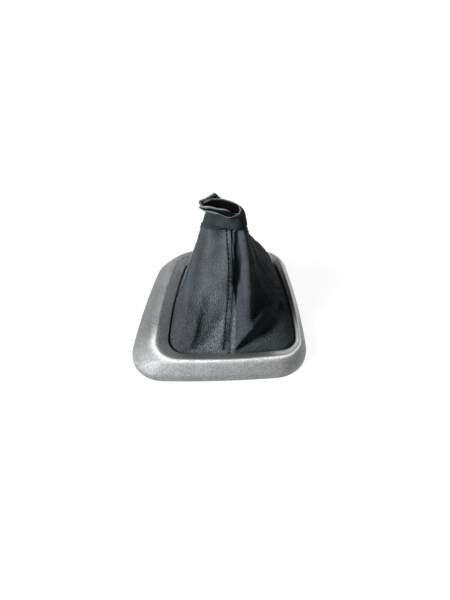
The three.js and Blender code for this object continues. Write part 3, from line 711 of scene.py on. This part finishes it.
def buildPanel(name, material):
    panel, count = panels[name], panels[name]["columns"]
    lines = np.linspace(*panel["lines"], 3 * count)
    lower = np.linspace(0, boot["topStart"], boot["rows"] - boot["topRows"], endpoint=False)
    heights = np.concatenate([lower, np.linspace(boot["topStart"], 1, boot["topRows"])])
    grid = panelGrid(lines, heights)
    flange = np.zeros(boot["flangeRows"])
    folded = np.concatenate([flange, np.minimum(1, heights / seam["start"]), [1.0]])
    shares = np.concatenate([flange, heights, [1.0]])
    seamLines = grid[:, 0].copy(), grid[:, -1].copy()
    drawn = np.stack(np.meshgrid(lines, shares), axis=-1)
    even = evenColumns(np.concatenate([grid, drawn], axis=2), count, seam["halfGap"] + seam["turn"])
    # the painted shade at each point of the panel
    grid, paintedShade = even[..., :3], paintedShadeAt(even[..., 3], even[..., 4])
    normals = surfaceNormals(grid)
    outs = []  # along each seam, both of its panels take the same normals
    for column, line in zip((0, -1), panel["lines"]):
        body = seamNormals(line, heights)
        outs.append(np.concatenate([normals[: boot["flangeRows"], column], body, body[-1:]]))
    fromStart = runningLengths(grid)
    toEnd = fromStart[:, -1:] - fromStart
    starts, ends = (name != "rear_right_panel"), (name != "front_right_panel")  # the right seam lies flat
    dip = seam["dip"] * (starts * bell(fromStart, seam["dipReach"]) + ends * bell(toEnd, seam["dipReach"]))
    fromStitches = toEnd - stitch["fromSeam"]
    dip = folded[:, None] * (dip + stitch["groove"] * bell(fromStitches, stitch["grooveWidth"]))
    below, fade = (1 - shares) * collar["footHeight"], seam["topFade"]
    dip *= 1 - fade["share"] * bell(below, fade["reach"])[:, None] * creaseFree(collarAngle(lines)).max()
    nearStart, nearEnd = bell(fromStart, seam["blend"])[..., None], bell(toEnd, seam["blend"])[..., None]
    atStart, atEnd = outs[0][:, None] * nearStart, outs[1][:, None] * nearEnd
    normals = unit(normals * (1 - nearStart - nearEnd) + atStart + atEnd)
    # painted shade along the stitch groove
    stitchShade = boot["shadedPlaces"]["stitches"] * folded[:, None] * bell(fromStitches, stitch["shadeWidth"])
    paintedShade = np.maximum(paintedShade, stitchShade)
    grid = grid - normals * dip[..., None]
    uneven = undulation(grid, boot["unevenness"]["wavelength"], panel["seed"])
    grid = grid + normals * (folded[:, None] * uneven * boot["unevenness"]["height"])[..., None]
    normals = surfaceNormals(grid)
    start = turnedEdge(grid[:, 0], seamLines[0], outs[0], folded)[::-1]
    end = turnedEdge(grid[:, -1], seamLines[1], outs[1], folded)
    full = np.stack([*start, *[grid[:, k] for k in range(count)], *end], axis=1)
    rows, columns = full.shape[:2]
    paintedShade = np.pad(paintedShade, ((0, 0), (len(start), len(end))), mode="edge")
    faces = gridFaces(rows, columns)
    # the painted shade is passed on as values below 0
    piece = makePiece(name.replace("panel", "leather"), full, faces, (material, backing), paintedLight=-paintedShade)
    thickness = piece.modifiers.new("thickness", "SOLIDIFY")
    thickness.thickness = boot["leather"] * mm
    thickness.offset = -1.0
    thickness.material_offset = 1
    applyModifiers(piece)
    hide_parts(name)
    return piece, grid, normals, toEnd


def applyModifiers(piece):
    graph = bpy.context.evaluated_depsgraph_get()
    mesh = bpy.data.meshes.new_from_object(piece.evaluated_get(graph))
    piece.modifiers.clear()
    old = piece.data
    piece.data = mesh
    bpy.data.meshes.remove(old)
    piece.data.shade_smooth()


# The collar: an outer layer and, inside it, a folded hem; in front the two stand apart as a flat pocket.
collarLayers = {  # how far up as a share, and how far out in millimetres
    "outer": {
        "piece": "collar_outer_layer",
        "section": [
            (0.04, -1.3), (0.0, -0.85), (0.015, -0.42), (0.07, -0.1), (0.2, 0.0), (0.4, 0.0),
            (0.6, 0.0), (0.8, 0.0), (0.93, 0.0), (0.985, -0.12), (1.0, -0.6), (0.985, -1.05),
            (0.93, -1.2), (0.75, -1.3), (0.5, -1.3), (0.25, -1.3),
        ],
    },
    "inner": {
        "piece": "collar_inner_hem",
        "section": [
            (0.5, -1.7), (0.62, -1.2), (0.8, -0.5), (0.93, -0.05), (0.985, -0.05), (1.0, -0.5),
            (0.985, -0.95), (0.93, -1.1), (0.8, -1.6), (0.62, -2.4), (0.5, -2.9),
        ],
    },
}


def buildCollarLayer(key):
    layer = collarLayers[key]
    section = smoothThrough(layer["section"], 4)
    degrees = np.linspace(0, 360, collar["columns"], endpoint=False)
    rings = []
    for share, grow in section:
        tight = creaseFree(degrees) * bell(share, 0.08) if key == "outer" and grow > -1.2 else 0 * degrees
        rings.append(collarSurface(degrees, share, mix(grow, -0.1, tight), collarRims[key]))
    rings = np.array(rings)
    uneven = collar["unevenness"]
    height = undulation(rings, uneven["wavelength"], uneven["seed"]) * uneven["height"]
    rings += surfaceNormals(rings, closedColumns=True) * height[..., None]
    # painted highlight along the rim, where the fold catches light, and painted shade on the left
    rim = bell(1.0 - section[:, 0], 0.024)[:, None]
    paintedLight = rim + collar["leftShade"] * creaseFree(degrees) * (section[:, :1] < 0.9)
    faces = gridFaces(rings.shape[0], rings.shape[1], closedRows=True, closedColumns=True)
    piece = makePiece(layer["piece"], rings, faces, (collarLeather, backing), paintedLight=paintedLight)
    top = int(np.argmax(section[:, 0]))
    inside = (section[:, 0] < 0.94) & ((np.arange(len(section)) > top) | (key == "inner"))
    piece.data.polygons.foreach_set("material_index", np.repeat(inside.astype(int), len(degrees)))
    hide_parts("collar_band")
    return piece


stitch = {
    "pitch": 3.7,
    "length": 3.0,
    "fromSeam": 3.3,
    "groove": 0.4,
    "grooveWidth": 0.8,
    # width of the painted shade along the stitches
    "shadeWidth": 0.6,
    "radius": 0.46,
    "rise": 0.3,
    "sunk": 0.35,  # how deep its ends lie
    "sides": 8,
    "rings": 9,
}


def stitchRun(name, grid, normals, distances, material):
    path, outs = [], []
    for row in range(boot["flangeRows"] + 2, len(grid) - 2):
        column = int(np.argmin(np.abs(distances[row] - stitch["fromSeam"])))
        path.append(grid[row, column])
        outs.append(normals[row, column])
    path, outs = np.array(path), np.array(outs)
    lengths = runningLengths(path)

    def at(values, distance):
        return np.column_stack([np.interp(distance, lengths, values[:, axis]) for axis in range(3)])

    points, faces = [], []
    for k in range(int(lengths[-1] / stitch["pitch"])):
        share = np.linspace(0, 1, stitch["rings"])
        middle = at(path, k * stitch["pitch"] + share * stitch["length"])
        out = unit(at(outs, k * stitch["pitch"] + share * stitch["length"]))
        height = np.sin(math.pi * share) ** 0.6 * (stitch["rise"] + stitch["sunk"]) - stitch["sunk"]
        centre = middle + out * height[:, None]
        along = unit(np.gradient(centre, axis=0))
        aside = unit(np.cross(along, out))
        up = np.cross(aside, along)
        start = len(points)
        for ring in range(stitch["rings"]):
            radius = stitch["radius"] * (1 - 0.25 * abs(2 * share[ring] - 1) ** 3)
            for side in range(stitch["sides"]):
                angle = 2 * math.pi * side / stitch["sides"]
                offset = aside[ring] * math.cos(angle) + up[ring] * math.sin(angle)
                points.append(centre[ring] + radius * offset)
        faces += gridFaces(stitch["rings"], stitch["sides"], closedColumns=True, start=start)
        last = start + (stitch["rings"] - 1) * stitch["sides"]
        faces.append(tuple(start + side for side in reversed(range(stitch["sides"]))))
        faces.append(tuple(last + side for side in range(stitch["sides"])))
    return makePiece(name, points, faces, material)


# Materials.
def newMaterial(name):
    material = bpy.data.materials.new(name)
    material.use_nodes = True
    material.node_tree.nodes.clear()
    return material, material.node_tree


def addNode(tree, kind, inputs=None, **settings):  # an input is a value, or another node's output
    node = tree.nodes.new(kind)
    for key, value in settings.items():
        setattr(node, key, value)
    for socket, given in (inputs or {}).items():
        if isinstance(given, bpy.types.NodeSocket):
            tree.links.new(given, node.inputs[socket])
        else:
            node.inputs[socket].default_value = given
    return node


def newGroup(name, inputs, outputs):
    tree = bpy.data.node_groups.new(name, "ShaderNodeTree")
    for label, kind, default in inputs:
        socket = tree.interface.new_socket(label, in_out="INPUT", socket_type=kind)
        socket.default_value = default
    for label, kind in outputs:
        tree.interface.new_socket(label, in_out="OUTPUT", socket_type=kind)
    return tree, addNode(tree, "NodeGroupInput").outputs


def maths(tree, operation, *values, clamp=False):
    inputs = dict(enumerate(values))
    return addNode(tree, "ShaderNodeMath", inputs, operation=operation, use_clamp=clamp).outputs[0]


def vectors(tree, operation, inputs):
    return addNode(tree, "ShaderNodeVectorMath", inputs, operation=operation).outputs[0]


def mapRange(tree, value, fromLow, fromHigh, toLow, toHigh, smooth=True):
    inputs = {"Value": value, "From Min": fromLow, "From Max": fromHigh, "To Min": toLow, "To Max": toHigh}
    kind = "SMOOTHSTEP" if smooth else "LINEAR"
    return addNode(tree, "ShaderNodeMapRange", inputs, interpolation_type=kind).outputs["Result"]


def mixColours(tree, factor, first, second):
    node = addNode(tree, "ShaderNodeMix", {"Factor": factor}, data_type="RGBA")
    colours = [socket for socket in node.inputs if socket.type == "RGBA"]
    for socket, given in zip(colours, (first, second)):
        if isinstance(given, bpy.types.NodeSocket):
            tree.links.new(given, socket)
        else:
            socket.default_value = opaque(given)
    return [socket for socket in node.outputs if socket.type == "RGBA"][0]


def opaque(colour):
    return (*colour, 1.0)


def pebbleGrainGroup():  # rounded cells with creases between them, as pressed into leather and leatherette
    tree, given = newGroup(
        "pebbleGrain",
        [("Cells per Metre", "NodeSocketFloat", 800.0), ("Waver", "NodeSocketFloat", 0.3)],
        [("Height", "NodeSocketFloat"), ("Crease", "NodeSocketFloat"), ("Tone", "NodeSocketFloat")],
    )
    place = addNode(tree, "ShaderNodeTexCoord").outputs["Object"]
    waver = addNode(tree, "ShaderNodeTexNoise", {"Vector": place, "Scale": 900.0, "Detail": 1.0})
    centred = vectors(tree, "SUBTRACT", {0: waver.outputs["Color"], 1: (0.5, 0.5, 0.5)})
    share = maths(tree, "DIVIDE", given["Waver"], given["Cells per Metre"])
    moved = vectors(tree, "ADD", {0: place, 1: vectors(tree, "SCALE", {0: centred, "Scale": share})})
    cells = {"Vector": moved, "Scale": given["Cells per Metre"]}
    toCrease = addNode(tree, "ShaderNodeTexVoronoi", cells, feature="DISTANCE_TO_EDGE").outputs["Distance"]
    drawn = addNode(tree, "ShaderNodeTexVoronoi", cells, feature="F1").outputs["Color"]
    ofCell = addNode(tree, "ShaderNodeSeparateColor", {"Color": drawn}).outputs
    fine = addNode(tree, "ShaderNodeTexNoise", {"Vector": place, "Scale": 4200.0, "Detail": 2.0})
    dome = mapRange(tree, toCrease, 0.0, 0.32, 0.0, 1.0)
    height = maths(tree, "MULTIPLY_ADD", fine.outputs["Fac"], 0.18, dome)
    height = maths(tree, "MULTIPLY_ADD", ofCell["Red"], 0.35, height)
    crease = mapRange(tree, toCrease, 0.02, 0.14, 1.0, 0.0)
    addNode(tree, "NodeGroupOutput", {"Height": height, "Crease": crease, "Tone": ofCell["Green"]})
    return tree


def softWearGroup():  # broad, faint unevenness of tone and gloss
    tree, given = newGroup(
        "softWear",
        [("Patches per Metre", "NodeSocketFloat", 40.0), ("Contrast", "NodeSocketFloat", 0.5)],
        [("Mask", "NodeSocketFloat")],
    )
    place = addNode(tree, "ShaderNodeTexCoord").outputs["Object"]
    inputs = {"Vector": place, "Scale": given["Patches per Metre"], "Detail": 4.0, "Roughness": 0.6}
    patches = addNode(tree, "ShaderNodeTexNoise", inputs)
    spread = mapRange(tree, patches.outputs["Fac"], 0.3, 0.7, 0.0, 1.0)
    addNode(tree, "NodeGroupOutput", {"Mask": maths(tree, "MULTIPLY", spread, given["Contrast"])})
    return tree


def paintedLightAndShadeGroup():  # painted light: above 0 takes the highlight colour, and below 0 the painted shade colour
    grey = (0.5, 0.5, 0.5, 1.0)
    tree, given = newGroup(
        "paintedLightAndShade",
        [(label, "NodeSocketColor", grey) for label in ("Colour", "Highlight", "Shade")]
        + [("Light And Shade", "NodeSocketFloat", 0.0), ("Edge Share", "NodeSocketFloat", 1.0),
           ("Deep Share", "NodeSocketFloat", 1.0)],
        [("Result", "NodeSocketColor")],
    )
    below = maths(tree, "MULTIPLY", given["Light And Shade"], -1.0)
    paintedShade = maths(tree, "MULTIPLY", below, given["Deep Share"], clamp=True)
    edge = maths(tree, "MULTIPLY", given["Light And Shade"], given["Edge Share"], clamp=True)
    colour = mixColours(tree, paintedShade, given["Colour"], given["Shade"])
    addNode(tree, "NodeGroupOutput", {"Result": mixColours(tree, edge, colour, given["Highlight"])})
    return tree


pebbleGrain = pebbleGrainGroup()
softWear = softWearGroup()
paintedLightAndShade = paintedLightAndShadeGroup()


def placeGroup(tree, group, inputs):
    return addNode(tree, "ShaderNodeGroup", inputs, node_tree=group).outputs


def placeGrain(tree, look):
    return placeGroup(tree, pebbleGrain, {"Cells per Metre": look["cells"], "Waver": look["waver"]})


def placeWear(tree, look):
    inputs = {"Patches per Metre": look["patches"], "Contrast": look["contrast"]}
    return placeGroup(tree, softWear, inputs)["Mask"]


# the painted highlight and painted shade, read from the mesh's painted-light attribute
def placePaintedLight(tree, look, colour, highlightShare):
    paintedLight = addNode(tree, "ShaderNodeAttribute", attribute_name="paintedLight").outputs["Fac"]
    inputs = {"Colour": colour, "Highlight": opaque(look["edge"]), "Shade": opaque(look["paintedShade"]), "Light And Shade": paintedLight,
              "Edge Share": highlightShare, "Deep Share": look["shadeShare"]}
    return placeGroup(tree, paintedLightAndShade, inputs)["Result"]


def finishShader(tree, look, colour, roughness, height):
    bump = addNode(tree, "ShaderNodeBump", {"Height": height, "Strength": 1.0, "Distance": look["depth"]})
    inputs = {"Base Color": colour, "Roughness": roughness, "Normal": bump.outputs["Normal"],
              "Metallic": look["metallic"], "Specular IOR Level": look["specular"]}
    shader = addNode(tree, "ShaderNodeBsdfPrincipled", inputs)
    addNode(tree, "ShaderNodeOutputMaterial", {"Surface": shader.outputs[0]})


leatherLook = {
    "base": (0.036, 0.043, 0.048),
    "light": (0.215, 0.241, 0.257),
    # painted shade colour, then the painted highlight colour and its share
    "paintedShade": (0.010, 0.014, 0.015),
    "edge": (0.34, 0.36, 0.37),
    "highlightShare": 0.8,
    "shadeShare": 0.75,
    "cells": 600.0,
    "waver": 0.35,
    "patches": 30.0,
    "contrast": 0.25,
    "stretched": (0.03, 0.085),  # the heights in metres between which the grain flattens
    "stretchedGrain": 0.4,
    "grainTone": 0.2,
    "creaseTone": 0.6,
    "lightShare": (0.29, 0.16),  # everywhere, and more where the grain is full
    "depth": 0.00045,
    "roughness": (0.45, 0.6),
    "metallic": 0.0,
    "specular": 0.01,
}
collarLook = {
    **leatherLook,
    "base": (0.020, 0.025, 0.027),
    "light": (0.10, 0.116, 0.124),
    # painted highlight colour for the collar's rim
    "edge": (0.27, 0.29, 0.30),
}
silverLook = {
    "base": (0.165, 0.171, 0.174),
    "light": (0.40, 0.41, 0.415),
    # painted shade colour for the left wall, and a near-white painted highlight colour for the crest and
    # right band
    "paintedShade": (0.07, 0.073, 0.075),
    "edge": (1.0, 1.0, 0.98),
    "shadeShare": 1.0,
    "cells": 1500.0,
    "waver": 0.5,
    "patches": 55.0,
    "contrast": 0.2,
    "grainTone": 0.8,
    "depth": 0.00012,
    "roughness": (0.38, 0.5),
    "metallic": 0.7,
    "specular": 0.5,
}
plainLook = {"waver": 0.5, "patches": 60.0, "contrast": 0.5, "metallic": 0.0, "specular": 0.5}
backingLook = {
    **plainLook,
    "base": (0.006, 0.006, 0.007),
    "light": (0.012, 0.012, 0.013),
    "cells": 1500.0,
    "depth": 0.0002,
    "roughness": (0.8, 0.9),
    "specular": 0.05,
}
threadLook = {
    **plainLook,
    "base": (0.005, 0.005, 0.006),
    "light": (0.012, 0.012, 0.013),
    "cells": 3000.0,
    "depth": 0.00006,
    "roughness": (0.6, 0.7),
    "specular": 0.1,
}
blackPlasticLook = {
    **plainLook,
    "base": (0.012, 0.012, 0.012),
    "light": (0.022, 0.022, 0.022),
    "cells": 2600.0,
    "depth": 0.00005,
    "roughness": (0.45, 0.6),
}
zincSteelLook = {
    **plainLook,
    "base": (0.45, 0.45, 0.46),
    "light": (0.62, 0.62, 0.6),
    "cells": 3400.0,
    "depth": 0.00002,
    "roughness": (0.25, 0.4),
    "metallic": 1.0,
}


def leatherMaterial(name, look):
    material, tree = newMaterial(name)
    grain, wear = placeGrain(tree, look), placeWear(tree, look)
    place = addNode(tree, "ShaderNodeTexCoord").outputs["Object"]
    high = addNode(tree, "ShaderNodeSeparateXYZ", {0: place}).outputs["Z"]
    pressed = mapRange(tree, high, *look["stretched"], 1.0, look["stretchedGrain"])
    crease = maths(tree, "MULTIPLY", grain["Crease"], pressed)
    grainTone = maths(tree, "MULTIPLY", grain["Tone"], pressed)
    tone = maths(tree, "MULTIPLY_ADD", grainTone, look["grainTone"], wear)
    everywhere, withGrain = look["lightShare"]
    tone = maths(tree, "ADD", tone, maths(tree, "MULTIPLY_ADD", pressed, withGrain, everywhere))
    tone = maths(tree, "SUBTRACT", tone, maths(tree, "MULTIPLY", crease, look["creaseTone"]), clamp=True)
    colour = mixColours(tree, tone, look["base"], look["light"])
    # painted shade where the painted-light attribute is below 0, painted highlight where it is above 0
    colour = placePaintedLight(tree, look, colour, look["highlightShare"])
    rough = maths(tree, "MULTIPLY_ADD", wear, 0.3, grain["Crease"], clamp=True)
    roughness = mapRange(tree, rough, 0.0, 1.0, *look["roughness"], smooth=False)
    finishShader(tree, look, colour, roughness, maths(tree, "MULTIPLY", grain["Height"], pressed))
    return material


def silverMaterial(name, look):
    material, tree = newMaterial(name)
    grain, wear = placeGrain(tree, look), placeWear(tree, look)
    tone = maths(tree, "MULTIPLY_ADD", grain["Tone"], look["grainTone"], wear, clamp=True)
    colour = mixColours(tree, tone, look["base"], look["light"])
    # the painted highlight takes a speckled share
    colour = placePaintedLight(tree, look, colour, mapRange(tree, grain["Tone"], 0.0, 0.8, 0.6, 1.0))
    roughness = mapRange(tree, tone, 0.0, 1.0, *look["roughness"], smooth=False)
    finishShader(tree, look, colour, roughness, grain["Height"])
    return material


def plainMaterial(name, look):
    material, tree = newMaterial(name)
    grain, wear = placeGrain(tree, look), placeWear(tree, look)
    colour = mixColours(tree, wear, look["base"], look["light"])
    roughness = mapRange(tree, grain["Tone"], 0.0, 1.0, *look["roughness"], smooth=False)
    finishShader(tree, look, colour, roughness, grain["Height"])
    return material


leather = leatherMaterial("leatherette", leatherLook)
collarLeather = leatherMaterial("collarLeatherette", collarLook)
silver = silverMaterial("silverPaint", silverLook)
backing = plainMaterial("blackBacking", backingLook)
thread = plainMaterial("blackThread", threadLook)
blackPlastic = plainMaterial("blackPlastic", blackPlasticLook)
screwSteel = plainMaterial("zincSteel", zincSteelLook)
print("materials made")

surroundShell = buildSurround(silver)
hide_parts("bezel_frame")
print("surround made")

built = {}
for name in panels:
    built[name] = buildPanel(name, leather)
    print("panel made:", name)

seamNames = {
    "front_left_panel": "front_seam_stitches",
    "front_right_panel": "right_seam_stitches",
    "rear_right_panel": "rear_seam_stitches",
    "rear_left_panel": "left_seam_stitches",
}
stitchRuns = {panel: stitchRun(name, *built[panel][1:], thread) for panel, name in seamNames.items()}
print("stitches made")

collars = {key: buildCollarLayer(key) for key in collarLayers}
print("collar made")

for name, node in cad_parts.items():
    if name.startswith("frame_screw"):
        node.data.materials.clear()
        node.data.materials.append(screwSteel)
    elif name == "retaining_frame":
        node.data.materials.clear()
        node.data.materials.append(blackPlastic)

# Stage, light and camera.
stage = {
    "size": 12.0,
    "colour": (0.15, 0.15, 0.15),
    "whiteShare": 0.92,
    "world": {"strength": 0.045, "dimTowards": (0.95, -0.3, 0.1), "dimTo": 0.2, "glossy": 0.3},
    "sun": {"strength": 2.2, "angle": 16.0, "from": (-0.68, -0.36, 0.65)},
    "panels": [
        {"name": "keySoftbox", "from": (-0.6, -0.36, 0.42), "size": (0.24, 0.24), "power": 6.6},
        {"name": "frontSoftbox", "from": (-0.35, -1.1, 0.4), "size": (0.5, 0.3), "power": 0.8},
        {"name": "backSoftbox", "from": (0.1, 0.85, 0.85), "size": (0.9, 0.12), "power": 2.8},
        {"name": "sideSoftbox", "from": (-0.62, 0.8, 0.28), "size": (0.8, 0.24), "power": 0.7},
        {"name": "rightSoftbox", "from": (0.75, 0.75, 0.2), "size": (0.6, 0.2), "power": 1.2},
    ],
}


def floorMaterial():  # white where the camera sees it, and plain grey to the light
    material, tree = newMaterial("paleFloor")
    diffuse = addNode(tree, "ShaderNodeBsdfDiffuse", {"Color": opaque(stage["colour"])})
    path = addNode(tree, "ShaderNodeLightPath").outputs
    seen = maths(tree, "MAXIMUM", path["Is Camera Ray"], path["Is Glossy Ray"])
    seen = maths(tree, "MAXIMUM", seen, path["Is Transmission Ray"])
    strength = maths(tree, "MULTIPLY", seen, stage["whiteShare"])
    white = addNode(tree, "ShaderNodeEmission", {"Color": (1.0, 1.0, 1.0, 1.0), "Strength": strength})
    both = addNode(tree, "ShaderNodeAddShader", {0: diffuse.outputs[0], 1: white.outputs[0]})
    addNode(tree, "ShaderNodeOutputMaterial", {"Surface": both.outputs[0]})
    return material


def pointAt(thing, target):
    direction = Vector(target) - thing.location
    thing.rotation_euler = direction.to_track_quat("-Z", "Y").to_euler()


def buildFloor():
    half = stage["size"] / 2
    corners = [(-half, -half, 0), (half, -half, 0), (half, half, 0), (-half, half, 0)]
    mesh = bpy.data.meshes.new("floor")
    mesh.from_pydata(corners, [], [(0, 1, 2, 3)])
    mesh.materials.append(floorMaterial())
    floor = intoScene(bpy.data.objects.new("floor", mesh))


def buildWorld():
    look = stage["world"]
    world = bpy.data.worlds.new("studio")
    world.use_nodes = True
    tree = world.node_tree
    place = addNode(tree, "ShaderNodeTexCoord").outputs["Generated"]
    dimTowards = Vector(look["dimTowards"]).normalized()
    towards = addNode(tree, "ShaderNodeVectorMath", {0: place, 1: dimTowards}, operation="DOT_PRODUCT")
    dimmed = look["strength"] * look["dimTo"]
    level = mapRange(tree, towards.outputs["Value"], 0.1, 0.9, look["strength"], dimmed)
    path = addNode(tree, "ShaderNodeLightPath").outputs
    glossy = maths(tree, "MULTIPLY", path["Is Glossy Ray"], look["glossy"])
    seen = maths(tree, "MAXIMUM", path["Is Camera Ray"], path["Is Transmission Ray"])
    level = maths(tree, "MAXIMUM", level, maths(tree, "MAXIMUM", seen, glossy))
    background = tree.nodes["Background"]
    background.inputs["Color"].default_value = (1.0, 1.0, 1.0, 1.0)
    tree.links.new(level, background.inputs["Strength"])
    bpy.context.scene.world = world


def addLight(name, kind, energy, place, target):
    light = bpy.data.objects.new(name, bpy.data.lights.new(name, kind))
    light.data.energy = energy
    light.location = place
    pointAt(light, target)
    return intoScene(light)


def buildLights():
    sun = addLight("sun", "SUN", stage["sun"]["strength"], stage["sun"]["from"], (0, 0, 0))
    sun.data.angle = math.radians(stage["sun"]["angle"])
    for lamp in stage["panels"]:
        softbox = addLight(lamp["name"], "AREA", lamp["power"], lamp["from"], (0, 0, 0.05))
        softbox.data.shape = "RECTANGLE"
        softbox.data.size, softbox.data.size_y = lamp["size"]


view = {
    "place": (0.0048, -0.30205, 0.3182),
    "tilt": 45.0,
    "focal": 465.0,  # in pixels of a picture 600 pixels high
    "pictureHeight": 600.0,
    "sensor": 36.0,
}


def buildCamera():
    data = bpy.data.cameras.new("camera")
    data.sensor_fit = "VERTICAL"
    data.sensor_height = view["sensor"]
    data.lens = view["focal"] / view["pictureHeight"] * view["sensor"]
    data.clip_start = 0.01
    camera = bpy.data.objects.new("camera", data)
    camera.location = view["place"]
    camera.rotation_euler = (math.radians(view["tilt"]), 0.0, 0.0)
    bpy.context.scene.camera = intoScene(camera)


buildFloor()
buildWorld()
buildLights()
buildCamera()
bpy.context.scene.view_settings.view_transform = "Standard"
print("stage and camera made")
